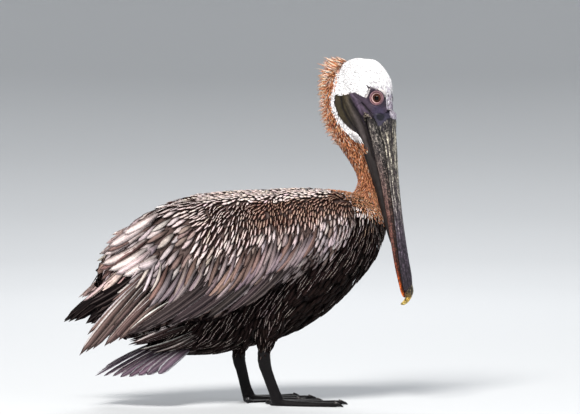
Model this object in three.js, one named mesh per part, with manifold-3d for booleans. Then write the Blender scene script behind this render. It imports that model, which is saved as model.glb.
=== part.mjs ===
// A standing brown pelican at life size: bill resting down along the neck, head turned a little to its right.
// Millimetres, +X towards the breast, +Y to the bird's left, +Z up, soles of the feet at Z = 0.
import * as THREE from "three";
import { mergeVertices } from "three/addons/utils/BufferGeometryUtils.js";
import Module from "manifold-3d";

const wasm = await Module();
wasm.setup();

// ---------- driving dimensions ----------
const GAP = 0.35; // clear space between neighbouring solids

const BILL_LENGTH = 309; // from the forehead feathers to the tip of the nail
const HEAD_YAW = THREE.MathUtils.degToRad(-28); // turned to the bird's right
const HEAD_PITCH = THREE.MathUtils.degToRad(82.8); // bill almost straight down
const HEAD_AT = new THREE.Vector3(236, -38, 482); // where the forehead meets the mouth line
const NAIL_FROM = 284; // where the yellow nail starts, along the bill
const BILL_TIP = 10 + BILL_LENGTH;

const EYE_RADIUS = 9.5;
const EYE_AT = { along: -23.5, side: 20.5, up: 0.5 };

const LEG_SIDE = 47; // each leg's distance from the middle plane
const TOE_JOINT_HEIGHT = 10;
const WEB_THICKNESS = 3.5;
const TOE_LENGTH = { hind: 34, inner: 86, middle: 107, outer: 101 };
const CLAW_LENGTH = 13;

const TAIL_LENGTH = 150;
const TAIL_FEATHERS = 10;
const VANE_THICKNESS = 3.2;

// ---------- materials ----------
const finish = (color, roughness) => new THREE.MeshStandardMaterial({ color, roughness, metalness: 0 });
const materials = {
  darkPlumage: finish(0x3b2a25, 0.9),
  neckPlumage: finish(0x9a5836, 0.9),
  whitePlumage: finish(0xece6e2, 0.9),
  wingPlumage: finish(0x8d7a74, 0.85),
  flightFeathers: finish(0x54474a, 0.8),
  billHorn: finish(0x6f6662, 0.55),
  nailHorn: finish(0xd8b04a, 0.45),
  pouchSkin: finish(0x37322f, 0.6),
  legSkin: finish(0x1f1a1e, 0.55),
  eye: finish(0x2b1a14, 0.1),
};

// ---------- solids ----------
function toSolid(geometry) {
  const plain = new THREE.BufferGeometry().setAttribute("position", geometry.getAttribute("position"));
  if (geometry.index) plain.setIndex(geometry.index);
  const merged = mergeVertices(plain, 1e-3);
  const build = (triVerts) =>
    new wasm.Manifold(
      new wasm.Mesh({ numProp: 3, vertProperties: merged.attributes.position.array, triVerts }),
    );
  const faces = new Uint32Array(merged.index.array);
  const made = build(faces);
  if (made.volume() > 0) return made;
  for (let i = 0; i < faces.length; i += 3) [faces[i], faces[i + 1]] = [faces[i + 1], faces[i]];
  return build(faces);
}

function toGeometry(solid) {
  const mesh = solid.getMesh();
  const geometry = new THREE.BufferGeometry();
  geometry.setAttribute("position", new THREE.BufferAttribute(mesh.vertProperties, mesh.numProp));
  geometry.setIndex(new THREE.BufferAttribute(mesh.triVerts, 1));
  geometry.computeVertexNormals();
  return geometry;
}

// Cuts the others away and keeps the largest piece that is left.
function without(solid, ...others) {
  const cut = others.reduce((rest, other) => rest.subtract(other), solid);
  return cut.decompose().sort((a, b) => b.volume() - a.volume())[0];
}

// The piece that reaches furthest back.
const rearmost = (solid) =>
  solid.decompose().sort((a, b) => a.boundingBox().min[0] - b.boundingBox().min[0])[0];

const joined = (first, ...rest) => rest.reduce((whole, part) => whole.add(part), first);

function node(name, solid, material) {
  const mesh = new THREE.Mesh(toGeometry(solid), material);
  mesh.name = name;
  return mesh;
}

// A smooth value at t from 0 to 1 through evenly spaced values.
function smoothValue(values, t) {
  const at = THREE.MathUtils.clamp(t, 0, 1) * (values.length - 1);
  const i = Math.min(Math.floor(at), values.length - 2);
  const before = values[Math.max(i - 1, 0)];
  const after = values[Math.min(i + 2, values.length - 1)];
  const [a, b] = [values[i], values[i + 1]];
  const f = at - i;
  return 0.5 * (2 * a + (b - before) * f + (2 * before - 5 * a + 4 * b - after) * f * f
    + (3 * (a - b) + after - before) * f * f * f);
}

// Rounds a body off over the first and last share of its length.
function capShare(t, [start, end]) {
  const fromEnd = t < start ? (start - t) / start : t > 1 - end ? (t - 1 + end) / end : 0;
  return Math.sqrt(Math.max(0, 1 - fromEnd * fromEnd));
}

// Bends a sphere into any closed body: place(t, angle) gives the point of ring t at that angle.
function bodyFromSphere(around, along, place) {
  const sphere = new THREE.SphereGeometry(1, around, along);
  const uv = sphere.getAttribute("uv");
  const position = sphere.getAttribute("position");
  for (let i = 0; i < position.count; i++) {
    const row = Math.round((1 - uv.getY(i)) * along);
    const column = Math.round(position.count / (along + 1)) - 1;
    const angle = (2 * Math.PI * (i % (column + 1))) / column;
    const t = (1 - Math.cos((Math.PI * row) / along)) / 2;
    const point = place(t, row === 0 || row === along ? 0 : angle);
    position.setXYZ(i, point.x, point.y, point.z);
  }
  return toSolid(sphere);
}

// A rounded body along stations { at: [x, y, z], side, up, down }: the half width, and the reach
// above and below the station's centre.
function loft(stations, { around = 24, along = 20, cap = [0.1, 0.1], grow = 0, square = 1 } = {}) {
  const path = new THREE.CatmullRomCurve3(stations.map((s) => new THREE.Vector3(...s.at)));
  path.curveType = "catmullrom";
  const pick = (key) => stations.map((s) => s[key]);
  const [side, up, down] = ["side", "up", "down"].map(pick);
  return bodyFromSphere(around, along, (t, angle) => {
    const tangent = path.getTangent(t);
    const left = new THREE.Vector3(0, 1, 0).addScaledVector(tangent, -tangent.y).normalize();
    const above = new THREE.Vector3().crossVectors(tangent, left).normalize();
    const share = capShare(t, cap);
    const [c, s] = [Math.cos(angle), Math.sin(angle)];
    const shaped = (value) => Math.sign(value) * Math.abs(value) ** square;
    const reach = s > 0 ? smoothValue(up, t) : smoothValue(down, t);
    const beyond = grow * (t === 0 ? -1 : t === 1 ? 1 : 0);
    return path.getPoint(t)
      .addScaledVector(tangent, beyond)
      .addScaledVector(left, shaped(c) * (smoothValue(side, t) * share + grow * (share > 0)))
      .addScaledVector(above, shaped(s) * (reach * share + grow * (share > 0)));
  });
}

// ---------- trunk, neck and thighs ----------
const TRUNK_STATIONS = [
  { at: [-150, 0, 102], side: 20, up: 22, down: 18 },
  { at: [-118, 0, 118], side: 40, up: 42, down: 42 },
  { at: [-70, 0, 152], side: 65, up: 78, down: 84 },
  { at: [2, 0, 208], side: 83, up: 102, down: 121 },
  { at: [84, 0, 252], side: 87, up: 98, down: 122 },
  { at: [152, 0, 280], side: 78, up: 78, down: 101 },
  { at: [203, 0, 294], side: 60, up: 56, down: 73 },
  { at: [248, 0, 304], side: 36, up: 36, down: 42 },
];

const trunkSolid = (grow = 0) => loft(TRUNK_STATIONS, { around: 24, along: 18, cap: [0.12, 0.16], grow, square: 0.93 });

// Up the neck, "up" is towards the nape and "down" towards the throat.
const NECK_STATIONS = [
  { at: [190, 2, 288], side: 46, up: 46, down: 46 },
  { at: [214, 4, 328], side: 29, up: 30, down: 31 },
  { at: [223, 7, 362], side: 22, up: 21, down: 23 },
  { at: [216, 8, 393], side: 20, up: 21, down: 21 },
  { at: [198, 5, 426], side: 21, up: 24, down: 24 },
  { at: [180, 0, 462], side: 23, up: 30, down: 28 },
  { at: [173, -4, 500], side: 24, up: 31, down: 30 },
  { at: [178, -7, 534], side: 22, up: 30, down: 28 },
  { at: [184, -10, 560], side: 12, up: 17, down: 15 },
];

const neckSolid = (grow = 0) => loft(NECK_STATIONS, { around: 14, along: 20, cap: [0.12, 0.1], grow });

// The crest is a thin ridge of longer feathers down the nape.
const CREST_STATIONS = [
  { at: [170, -1, 426], side: 5, up: 5, down: 10 },
  { at: [153, -2, 462], side: 7, up: 8, down: 14 },
  { at: [147, -3, 500], side: 8, up: 9, down: 16 },
  { at: [147, -4, 534], side: 8, up: 12, down: 18 },
  { at: [160, -8, 558], side: 8, up: 10, down: 16 },
  { at: [177, -12, 568], side: 5, up: 4, down: 8 },
];

const crestSolid = () => loft(CREST_STATIONS, { around: 8, along: 12, cap: [0.1, 0.1] });

function thighSolid(leg, grow = 0) {
  const side = leg.side * LEG_SIDE;
  const stations = [
    { at: [leg.ankleX + 14, side * 0.92, 170], side: 31, up: 32, down: 32 },
    { at: [leg.ankleX + 7, side, 134], side: 26, up: 27, down: 27 },
    { at: [leg.ankleX + 3, side, leg.featherEnd + 20], side: 17, up: 20, down: 19 },
    { at: [leg.ankleX, side, leg.featherEnd], side: 10, up: 14, down: 13 },
  ];
  return loft(stations, { around: 12, along: 10, cap: [0.25, 0.06], grow });
}

// ---------- legs and feet ----------
const LEGS = [
  { name: "right", side: -1, ankleX: 34, toeX: 55, ankleZ: 71, featherEnd: 91, turn: 4 },
  { name: "left", side: 1, ankleX: 7, toeX: 23, ankleZ: 68, featherEnd: 84, turn: 8 },
];

function shankSolid(leg, grow = 0) {
  const y = leg.side * LEG_SIDE;
  const stations = [
    { at: [leg.ankleX, y, leg.featherEnd + 14], side: 7, up: 9, down: 9 },
    { at: [leg.ankleX, y, leg.ankleZ + 4], side: 8, up: 11, down: 11 },
    { at: [leg.ankleX + 5, y, leg.ankleZ - 16], side: 6, up: 9.5, down: 9.5 },
    { at: [leg.toeX - 4, y, TOE_JOINT_HEIGHT + 12], side: 6.5, up: 9.5, down: 9 },
    { at: [leg.toeX, y, TOE_JOINT_HEIGHT], side: 9, up: 11, down: 10 },
    { at: [leg.toeX + 1, y, 2], side: 8, up: 10, down: 9 },
  ];
  return loft(stations, { around: 10, along: 14, cap: [0.08, 0.08], grow });
}

// All four toes are joined by webs. Angles are from straight ahead, positive towards the middle plane.
const TOES = [
  { length: TOE_LENGTH.hind, angle: 108 },
  { length: TOE_LENGTH.inner, angle: 30 },
  { length: TOE_LENGTH.middle, angle: 4 },
  { length: TOE_LENGTH.outer, angle: -21 },
];

function toeTip(toe, inward) {
  const angle = THREE.MathUtils.degToRad(toe.angle) * inward;
  return new THREE.Vector2(Math.cos(angle), Math.sin(angle)).multiplyScalar(toe.length);
}

function webOutline(inward) {
  const tips = TOES.map((toe) => toeTip(toe, inward));
  const heel = new THREE.Vector2(-9, 0);
  const web = new THREE.Shape().moveTo(heel.x, heel.y);
  web.lineTo(tips[0].x, tips[0].y);
  for (let i = 1; i < tips.length; i++) {
    const hollow = tips[i - 1].clone().add(tips[i]).multiplyScalar(i === 1 ? 0.42 : 0.455);
    web.quadraticCurveTo(hollow.x, hollow.y, tips[i].x, tips[i].y);
  }
  return web.quadraticCurveTo(tips[3].x * 0.35, tips[3].y * 0.6 - 4 * inward, heel.x, heel.y);
}

// A toe is a low ridge on the web that ends in a curved claw.
function toeSolid(toe, inward) {
  const angle = THREE.MathUtils.degToRad(toe.angle) * inward;
  const along = (share, z) => [Math.cos(angle) * toe.length * share, Math.sin(angle) * toe.length * share, z];
  const tip = 1 + CLAW_LENGTH / toe.length;
  const stations = [
    { at: along(0, 6), side: 6.5, up: 6, down: 5.9 },
    { at: along(0.4, 4.4), side: 4.6, up: 4.6, down: 4.3 },
    { at: along(0.8, 3.6), side: 4.2, up: 4, down: 3.5 },
    { at: along(0.98, 4.2), side: 4, up: 4.2, down: 4 },
    { at: along(tip, 1.7), side: 1.4, up: 1.4, down: 1.4 },
  ];
  return loft(stations, { around: 7, along: 7, cap: [0.1, 0.06] });
}

function footSolid(leg) {
  const inward = -leg.side;
  const web = toSolid(new THREE.ExtrudeGeometry(webOutline(inward), {
    depth: WEB_THICKNESS, bevelEnabled: false, curveSegments: 4,
  }));
  const foot = joined(web, ...TOES.map((toe) => toeSolid(toe, inward)));
  const below = toSolid(new THREE.BoxGeometry(400, 400, 40).translate(0, 0, -20));
  return foot.subtract(below)
    .rotate([0, 0, leg.turn * leg.side])
    .translate([leg.toeX, leg.side * LEG_SIDE, 0]);
}

// ---------- feathers as solid vanes ----------
// A flat vane from root to tip, with its face turned towards outward.
function vaneSolid(root, tip, width, outward, thickness = VANE_THICKNESS) {
  const length = root.distanceTo(tip);
  const half = width / 2;
  const outline = new THREE.Shape()
    .moveTo(0, -half * 0.45)
    .quadraticCurveTo(length * 0.45, -half * 1.05, length * 0.84, -half * 0.8)
    .quadraticCurveTo(length * 0.97, -half * 0.55, length, 0)
    .quadraticCurveTo(length * 0.97, half * 0.55, length * 0.84, half * 0.8)
    .quadraticCurveTo(length * 0.45, half * 1.05, 0, half * 0.45);
  const vane = new THREE.ExtrudeGeometry(outline, { depth: thickness, bevelEnabled: false, curveSegments: 2 });
  vane.translate(0, 0, -thickness / 2);
  const x = tip.clone().sub(root).normalize();
  const z = outward.clone().addScaledVector(x, -outward.dot(x)).normalize();
  const y = new THREE.Vector3().crossVectors(z, x);
  return toSolid(vane.applyMatrix4(new THREE.Matrix4().makeBasis(x, y, z).setPosition(root)));
}

const TAIL_ROOT = new THREE.Vector3(-96, 0, 112);
const TAIL_DROP = THREE.MathUtils.degToRad(23);
const TAIL_SPREAD = THREE.MathUtils.degToRad(27); // from the middle to the outermost feather

// The tail is a rounded fan, arched so that its outer feathers hang lower.
function tailSolid() {
  const feathers = Array.from({ length: TAIL_FEATHERS }, (_, i) => {
    const across = (2 * i) / (TAIL_FEATHERS - 1) - 1;
    const spread = across * TAIL_SPREAD;
    const reach = TAIL_LENGTH * (1 - 0.34 * across ** 2);
    const arch = 16 * across ** 2;
    const root = TAIL_ROOT.clone().add(new THREE.Vector3(0, across * 30, -arch * 0.7));
    const direction = new THREE.Vector3(
      -Math.cos(TAIL_DROP) * Math.cos(spread), Math.sin(spread), -Math.sin(TAIL_DROP) * Math.cos(spread));
    const tip = root.clone().addScaledVector(direction, reach).add(new THREE.Vector3(0, 0, -arch * 0.2));
    return vaneSolid(root, tip, 29, new THREE.Vector3(0, across * 0.45, 1), 3.4);
  });
  return joined(...feathers);
}

// ---------- wings ----------
// Stations from the wrist to the feather tips: the upper and lower edges in side view as [x, z], and how far
// out the upper edge, the middle and the lower edge stand from the middle plane.
const WING_STATIONS = [
  { upper: [183, 322], lower: [183, 306], out: [52, 60, 58], thick: 8 },
  { upper: [166, 344], lower: [172, 280], out: [43, 74, 70], thick: 21 },
  { upper: [134, 351], lower: [128, 236], out: [37, 88, 79], thick: 24 },
  { upper: [78, 350], lower: [70, 208], out: [30, 97, 86], thick: 25 },
  { upper: [14, 347], lower: [18, 178], out: [22, 100, 86], thick: 25 },
  { upper: [-48, 343], lower: [-34, 146], out: [13, 96, 80], thick: 25 },
  { upper: [-110, 329], lower: [-98, 138], out: [7, 84, 71], thick: 24 },
  { upper: [-165, 300], lower: [-154, 126], out: [5, 66, 61], thick: 20 },
  { upper: [-211, 254], lower: [-200, 110], out: [6, 48, 49], thick: 15 },
  { upper: [-237, 202], lower: [-234, 112], out: [14, 36, 39], thick: 10 },
];

// A folded wing is a shell that arches over the back and hangs down the flank: c runs from its lower edge
// at -1 to its upper edge at 1.
function wingSection(t, c, side, lift) {
  const value = (pick) => smoothValue(WING_STATIONS.map(pick), t);
  const [above, middle, below] = [0, 1, 2].map((i) => value((s) => s.out[i]));
  const turn = (c * Math.PI) / 2;
  const share = 0.5 + 0.5 * (c > 0 ? Math.sin(turn) : c);
  const rise = lift * t * t;
  const high = new THREE.Vector3(value((s) => s.upper[0]), 0, value((s) => s.upper[1]) + rise);
  const point = new THREE.Vector3(value((s) => s.lower[0]), 0, value((s) => s.lower[1]) + rise).lerp(high, share);
  point.y = side * (c > 0 ? above + (middle - above) * Math.cos(turn) : middle + (below - middle) * c * c);
  const lean = c > 0 ? turn * 0.86 : turn * 0.2;
  return { point, outward: new THREE.Vector3(0, side * Math.cos(lean), Math.sin(lean)) };
}

function coverts(side, lift, grow = 0) {
  return bodyFromSphere(16, 18, (t, angle) => {
    const share = capShare(t, [0.1, 0.1]);
    const { point, outward } = wingSection(t, Math.cos(angle) * Math.max(share, 0.001), side, lift);
    const half = (smoothValue(WING_STATIONS.map((s) => s.thick), t) / 2) * share + grow;
    return point.addScaledVector(outward, Math.sin(angle) * half);
  });
}

// Long feathers at the wing's end: where each starts and ends in side view, and how far out it stands.
const FLIGHT_FEATHERS = [
  { from: [-96, 196], to: [-271, 84], out: [76, 34], width: 26 },
  { from: [-88, 184], to: [-244, 90], out: [80, 42], width: 27 },
  { from: [-78, 174], to: [-216, 98], out: [83, 50], width: 28 },
  { from: [-66, 168], to: [-186, 110], out: [86, 58], width: 28 },
  { from: [-100, 232], to: [-246, 116], out: [70, 28], width: 26 },
  { from: [-104, 250], to: [-232, 150], out: [62, 22], width: 27 },
];

function flightFeathers(side, lift) {
  const outward = new THREE.Vector3(0, side, 0.22);
  return joined(...FLIGHT_FEATHERS.map(({ from, to, out, width }) => {
    const root = new THREE.Vector3(from[0], side * out[0], from[1] + lift * 0.35);
    const tip = new THREE.Vector3(to[0] - lift * 0.25, side * out[1], to[1] + lift);
    return vaneSolid(root, tip, width, outward, 5);
  }));
}

const WINGS = [
  { name: "right", side: -1, covertLift: 0, tipLift: 0 },
  { name: "left", side: 1, covertLift: 8, tipLift: 52 },
];

// ---------- head, in its own frame: +X along the bill, +Y left, +Z towards the crown ----------
const SKULL_STATIONS = [
  { at: [-94.4, 0, -38], side: 14, up: 14, down: 16 },
  { at: [-83, 0, -37], side: 25, up: 31, down: 32 },
  { at: [-62, 0, -32], side: 31, up: 42.5, down: 42 },
  { at: [-38, 0, -26], side: 33, up: 46.3, down: 42 },
  { at: [-14, 0, -18], side: 30, up: 39.4, down: 34 },
  { at: [12, 0, -4], side: 25, up: 21.8, down: 16 },
  { at: [30, 0, 3], side: 15, up: 13.5, down: 6 },
];

const skullSolid = (grow = 0) => loft(SKULL_STATIONS, { around: 14, along: 14, cap: [0.14, 0.12], grow });

// Each station of the bill: [along, mouth line's height, culmen's height above it, half width, lower jaw's depth].
const BILL_STATIONS = [
  [-6, -19, 24, 24, 16],
  [12, -9.5, 27, 25.5, 20],
  [36, -4, 19, 24.5, 21.5],
  [64, 0, 12.9, 22, 22],
  [120, 0, 9.7, 18, 16.8],
  [180, 0, 9, 16, 14],
  [236, 0, 10.4, 17, 11.5],
  [274, 0, 12.5, 16.5, 9],
  [300, 0, 11, 11, 6],
];

function upperBillSolid(grow = 0) {
  const stations = BILL_STATIONS.map(([along, mouth, culmen, half]) =>
    ({ at: [along, 0, mouth], side: half, up: culmen, down: 0.8 }));
  return loft(stations, { around: 12, along: 18, cap: [0.05, 0.06], grow, square: 0.9 });
}

function lowerBillSolid(grow = 0) {
  const stations = BILL_STATIONS.map(([along, mouth, , half, depth]) =>
    ({ at: [along + (along > 290 ? 8 : 0), 0, mouth - 1.6], side: half - 1.4, up: 0.4, down: depth - 1.6 }));
  return loft(stations, { around: 12, along: 18, cap: [0.06, 0.07], grow, square: 0.8 });
}

const NAIL_STATIONS = [
  { at: [NAIL_FROM, 0, 5], side: 7, up: 7.2, down: 5 },
  { at: [NAIL_FROM + 14, 0, 6], side: 8.4, up: 7.6, down: 5 },
  { at: [BILL_TIP - 10, 0, 2.5], side: 6.6, up: 6.5, down: 5 },
  { at: [BILL_TIP - 3, 0, -4.5], side: 4, up: 4, down: 3.6 },
  { at: [BILL_TIP - 1, 0, -10.5], side: 1.4, up: 1.4, down: 1.4 },
];

const nailSolid = (grow = 0) => loft(NAIL_STATIONS, { around: 10, along: 10, cap: [0.1, 0.08], grow });

const POUCH_STATIONS = [
  { at: [-50, 0, -50], side: 23, up: 10, down: 17 },
  { at: [-28, 0, -50], side: 30, up: 20, down: 26 },
  { at: [4, 0, -46], side: 27, up: 20, down: 22 },
  { at: [44, 0, -35], side: 17, up: 15, down: 13 },
  { at: [107, 0, -23], side: 10.5, up: 12, down: 11 },
  { at: [168, 0, -15], side: 8.5, up: 9, down: 9 },
  { at: [228, 0, -11], side: 6, up: 6, down: 5 },
];

const pouchSolid = (grow = 0) => loft(POUCH_STATIONS, { around: 12, along: 16, cap: [0.1, 0.12], grow });

const eyeAt = (side) => new THREE.Vector3(EYE_AT.along, side * EYE_AT.side, EYE_AT.up);
const eyeSolid = (side, grow = 0) =>
  toSolid(new THREE.SphereGeometry(EYE_RADIUS + grow, 10, 8)).translate(eyeAt(side).toArray());

function makeHead() {
  const head = new THREE.Group();
  head.position.copy(HEAD_AT);
  head.rotation.set(0, HEAD_PITCH, HEAD_YAW, "ZYX");
  head.updateMatrix();
  const upperGrown = upperBillSolid(GAP);
  const lowerGrown = lowerBillSolid(GAP);
  const nailGrown = nailSolid(GAP);
  const eyesGrown = [eyeSolid(-1, GAP), eyeSolid(1, GAP)];
  const skull = without(skullSolid(), upperGrown, lowerGrown, pouchSolid(GAP), ...eyesGrown);
  const upper = without(upperBillSolid(), nailGrown);
  const lower = without(lowerBillSolid(), upperGrown, nailGrown);
  const pouch = without(pouchSolid(), lowerGrown, upperGrown);
  head.add(
    node("head", skull, materials.whitePlumage),
    node("bill_upper", upper, materials.billHorn),
    node("bill_lower", lower, materials.billHorn),
    node("bill_nail", nailSolid(), materials.nailHorn),
    node("pouch", pouch, materials.pouchSkin),
    node("eye_right", eyeSolid(-1), materials.eye),
    node("eye_left", eyeSolid(1), materials.eye),
  );
  return head;
}

// ---------- assembly ----------
const bird = new THREE.Group();
const head = makeHead();
bird.add(head);

const toBody = (solid) => solid.transform(head.matrix.toArray());
const headParts = [skullSolid(GAP), upperBillSolid(GAP), lowerBillSolid(GAP), pouchSolid(GAP)].map(toBody);
const trunk = without(trunkSolid(), ...headParts.slice(1));
const trunkGrown = trunkSolid(GAP);
bird.add(node("trunk", trunk, materials.darkPlumage));
bird.add(node("neck", without(neckSolid(), trunkGrown, ...headParts), materials.neckPlumage));
bird.add(node("crest", without(crestSolid(), neckSolid(GAP), ...headParts), materials.neckPlumage));

const thighsGrown = LEGS.map((leg) => thighSolid(leg, GAP));
for (const leg of LEGS) {
  const foot = footSolid(leg);
  const shank = without(shankSolid(leg), thighSolid(leg, GAP), trunkGrown);
  bird.add(node(`thigh_${leg.name}`, without(thighSolid(leg), trunkGrown), materials.darkPlumage));
  bird.add(node(`leg_${leg.name}`, shank, materials.legSkin));
  bird.add(node(`foot_${leg.name}`, without(foot, shankSolid(leg, GAP)), materials.legSkin));
}

const taken = [trunkGrown, ...thighsGrown];
for (const wing of WINGS) {
  const cover = without(coverts(wing.side, wing.covertLift), ...taken, neckSolid(GAP));
  const fan = flightFeathers(wing.side, wing.tipLift).subtract(trunkGrown);
  const flight = rearmost(fan.subtract(coverts(wing.side, wing.covertLift, GAP)));
  bird.add(node(`wing_${wing.name}`, cover, materials.wingPlumage));
  bird.add(node(`primaries_${wing.name}`, flight, materials.flightFeathers));
}
bird.add(node("tail", without(tailSolid(), trunkGrown), materials.flightFeathers));

// The origin is on the ground under the middle of the bird's box.
const box = new THREE.Box3().setFromObject(bird, true);
const middle = box.getCenter(new THREE.Vector3());
bird.position.set(-middle.x, -middle.y, -box.min.z);

export default bird;
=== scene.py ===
import math

import bmesh
import bpy
import numpy as np
from mathutils import Matrix, Vector
from mathutils.bvhtree import BVHTree


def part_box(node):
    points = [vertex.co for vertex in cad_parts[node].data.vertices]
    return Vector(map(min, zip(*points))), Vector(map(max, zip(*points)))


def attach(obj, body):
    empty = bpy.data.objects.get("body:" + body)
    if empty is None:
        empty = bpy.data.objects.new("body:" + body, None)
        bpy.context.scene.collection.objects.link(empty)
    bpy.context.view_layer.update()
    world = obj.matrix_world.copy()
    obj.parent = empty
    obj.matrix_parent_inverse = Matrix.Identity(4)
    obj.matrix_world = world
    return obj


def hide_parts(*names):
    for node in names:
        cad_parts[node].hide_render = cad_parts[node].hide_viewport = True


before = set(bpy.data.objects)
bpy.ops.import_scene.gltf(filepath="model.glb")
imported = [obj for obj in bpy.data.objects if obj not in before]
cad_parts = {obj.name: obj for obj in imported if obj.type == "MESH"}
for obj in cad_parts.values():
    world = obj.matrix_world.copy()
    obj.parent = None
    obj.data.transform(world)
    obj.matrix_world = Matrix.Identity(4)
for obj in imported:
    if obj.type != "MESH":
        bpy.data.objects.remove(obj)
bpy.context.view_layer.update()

# A life-size standing brown pelican. Metres, +X towards the breast, +Y to the bird's left, +Z up.
mm = 0.001
random = np.random.default_rng(41)


def clearSelection():
    for thing in bpy.context.selected_objects:
        thing.select_set(False)


def activate(piece):
    clearSelection()
    piece.select_set(True)
    bpy.context.view_layer.objects.active = piece


def shadeSmooth(piece):
    for face in piece.data.polygons:
        face.use_smooth = True


def unit(vectors):
    return vectors / np.maximum(np.linalg.norm(vectors, axis=-1, keepdims=True), 1e-12)


def dots(a, b):
    return (a * b).sum(-1, keepdims=True)


def smoothStep(low, high, value):
    t = np.clip((value - low) / (high - low), 0, 1)
    return t * t * (3 - 2 * t)


# A screen colour from 0 to 255 as the linear one a material takes.
def paint(red, green, blue):
    tone = np.array([red, green, blue]) / 255
    return np.where(tone < 0.04045, tone / 12.92, ((tone + 0.055) / 1.055) ** 2.4)


print("floor, camera and light")
studio = {
    "aim": (0.0844, -0.0147, 0.3255), "azimuth": -10, "elevation": 2, "distance": 6.0, "lens": 225.7,
    "floorRadius": 3.5, "floorTone": paint(208, 210, 212),
    "key": {"place": (-1.7, -3.4, 4.4), "size": 2.2, "watts": 430, "tone": (1.0, 0.975, 0.94)},
    "fill": {"place": (3.2, -4.2, 1.6), "size": 3.5, "watts": 50, "tone": (0.9, 0.95, 1.0)},
    "rim": {"place": (0.8, 3.6, 3.4), "size": 2.5, "watts": 120, "tone": (1.0, 1.0, 1.0)},
    "worldStrength": 0.3, "worldTone": (0.86, 0.92, 1.0), "lampsLookAt": (0.05, 0, 0.3),
    "sweep": {"radius": 6.5, "turn": 70, "steps": 12},
}


def addArea(name, settings):
    light = bpy.data.lights.new(name, "AREA")
    light.shape = "DISK"
    light.size = settings["size"]
    light.energy = settings["watts"]
    light.color = settings["tone"]
    lamp = bpy.data.objects.new(name, light)
    bpy.context.scene.collection.objects.link(lamp)
    lamp.location = settings["place"]
    towards = Vector(studio["lampsLookAt"]) - lamp.location
    lamp.rotation_euler = towards.to_track_quat("-Z", "Y").to_euler()


def addCamera():
    camera = bpy.data.objects.new("camera", bpy.data.cameras.new("camera"))
    bpy.context.scene.collection.objects.link(camera)
    camera.data.lens = studio["lens"]
    camera.data.sensor_width = 36
    camera.data.clip_end = 60
    azimuth, elevation = math.radians(-studio["azimuth"]), math.radians(studio["elevation"])
    look = Vector((math.sin(azimuth) * math.cos(elevation), math.cos(azimuth) * math.cos(elevation),
                   -math.sin(elevation)))
    camera.location = Vector(studio["aim"]) - look * studio["distance"]
    camera.rotation_euler = look.to_track_quat("-Z", "Y").to_euler()
    bpy.context.scene.camera = camera


# A round pale floor whose rim rises in one soft sweep.
def addFloor():
    clearSelection()
    bpy.ops.mesh.primitive_circle_add(vertices=96, radius=studio["floorRadius"], fill_type="NGON")
    floor = bpy.context.active_object
    floor.name = "floor"
    bpy.ops.object.mode_set(mode="EDIT")
    bpy.ops.mesh.select_all(action="SELECT")
    bpy.ops.mesh.inset(thickness=0.2)
    bpy.ops.mesh.select_all(action="SELECT")
    bpy.ops.mesh.region_to_loop()
    radius, height, sweep = studio["floorRadius"], 0.0, studio["sweep"]
    for step in range(1, sweep["steps"] + 1):
        turn = step / sweep["steps"] * math.radians(sweep["turn"])
        newRadius = studio["floorRadius"] + sweep["radius"] * math.sin(turn)
        newHeight = sweep["radius"] * (1 - math.cos(turn))
        bpy.ops.mesh.extrude_edges_move()
        bpy.ops.transform.resize(value=(newRadius / radius, newRadius / radius, 1), center_override=(0, 0, 0))
        bpy.ops.transform.translate(value=(0, 0, newHeight - height))
        radius, height = newRadius, newHeight
    bpy.ops.object.mode_set(mode="OBJECT")
    shadeSmooth(floor)
    material = bpy.data.materials.new("paleFloor")
    material.use_nodes = True
    shader = material.node_tree.nodes["Principled BSDF"]
    shader.inputs["Base Color"].default_value = (*studio["floorTone"], 1)
    shader.inputs["Roughness"].default_value = 0.9
    floor.data.materials.append(material)


addCamera()
for lampName in ("key", "fill", "rim"):
    addArea(lampName, studio[lampName])
addFloor()
world = bpy.data.worlds.new("world")
world.use_nodes = True
world.node_tree.nodes["Background"].inputs["Color"].default_value = (*studio["worldTone"], 1)
world.node_tree.nodes["Background"].inputs["Strength"].default_value = studio["worldStrength"]
bpy.context.scene.world = world
bpy.context.scene.view_settings.view_transform = "Standard"


# The head's own frame, in millimetres: along the bill, to the bird's left, towards the crown.
headTurn = {"yaw": -28.0, "pitch": 82.8, "eyeAlong": -23.5, "eyeSide": 20.5, "eyeUp": 0.5}


def makeHeadFrame():
    turned = Matrix.Rotation(math.radians(headTurn["yaw"]), 3, "Z")
    tipped = Matrix.Rotation(math.radians(headTurn["pitch"]), 3, "Y")
    axes = np.array((turned @ tipped).transposed())
    corners = [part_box("eye_right"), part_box("eye_left")]
    middle = np.mean([np.array(low + high) / 2 for low, high in corners], axis=0)
    return axes, middle - (headTurn["eyeAlong"] * axes[0] + headTurn["eyeUp"] * axes[2]) * mm


headAxes, headOrigin = makeHeadFrame()


def toHead(points):
    return (np.asarray(points) - headOrigin) @ headAxes.T / mm


def fromHead(local):
    return np.asarray(local, float) * mm @ headAxes + headOrigin


def insideOutline(outline, x, y):
    inside = np.zeros(len(x), bool)
    ends = np.roll(outline, -1, axis=0)
    for (x0, y0), (x1, y1) in zip(outline, ends):
        crosses = (y0 > y) != (y1 > y)
        inside ^= crosses & (x < (x1 - x0) * (y - y0) / (y1 - y0 + 1e-12) + x0)
    return inside


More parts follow.
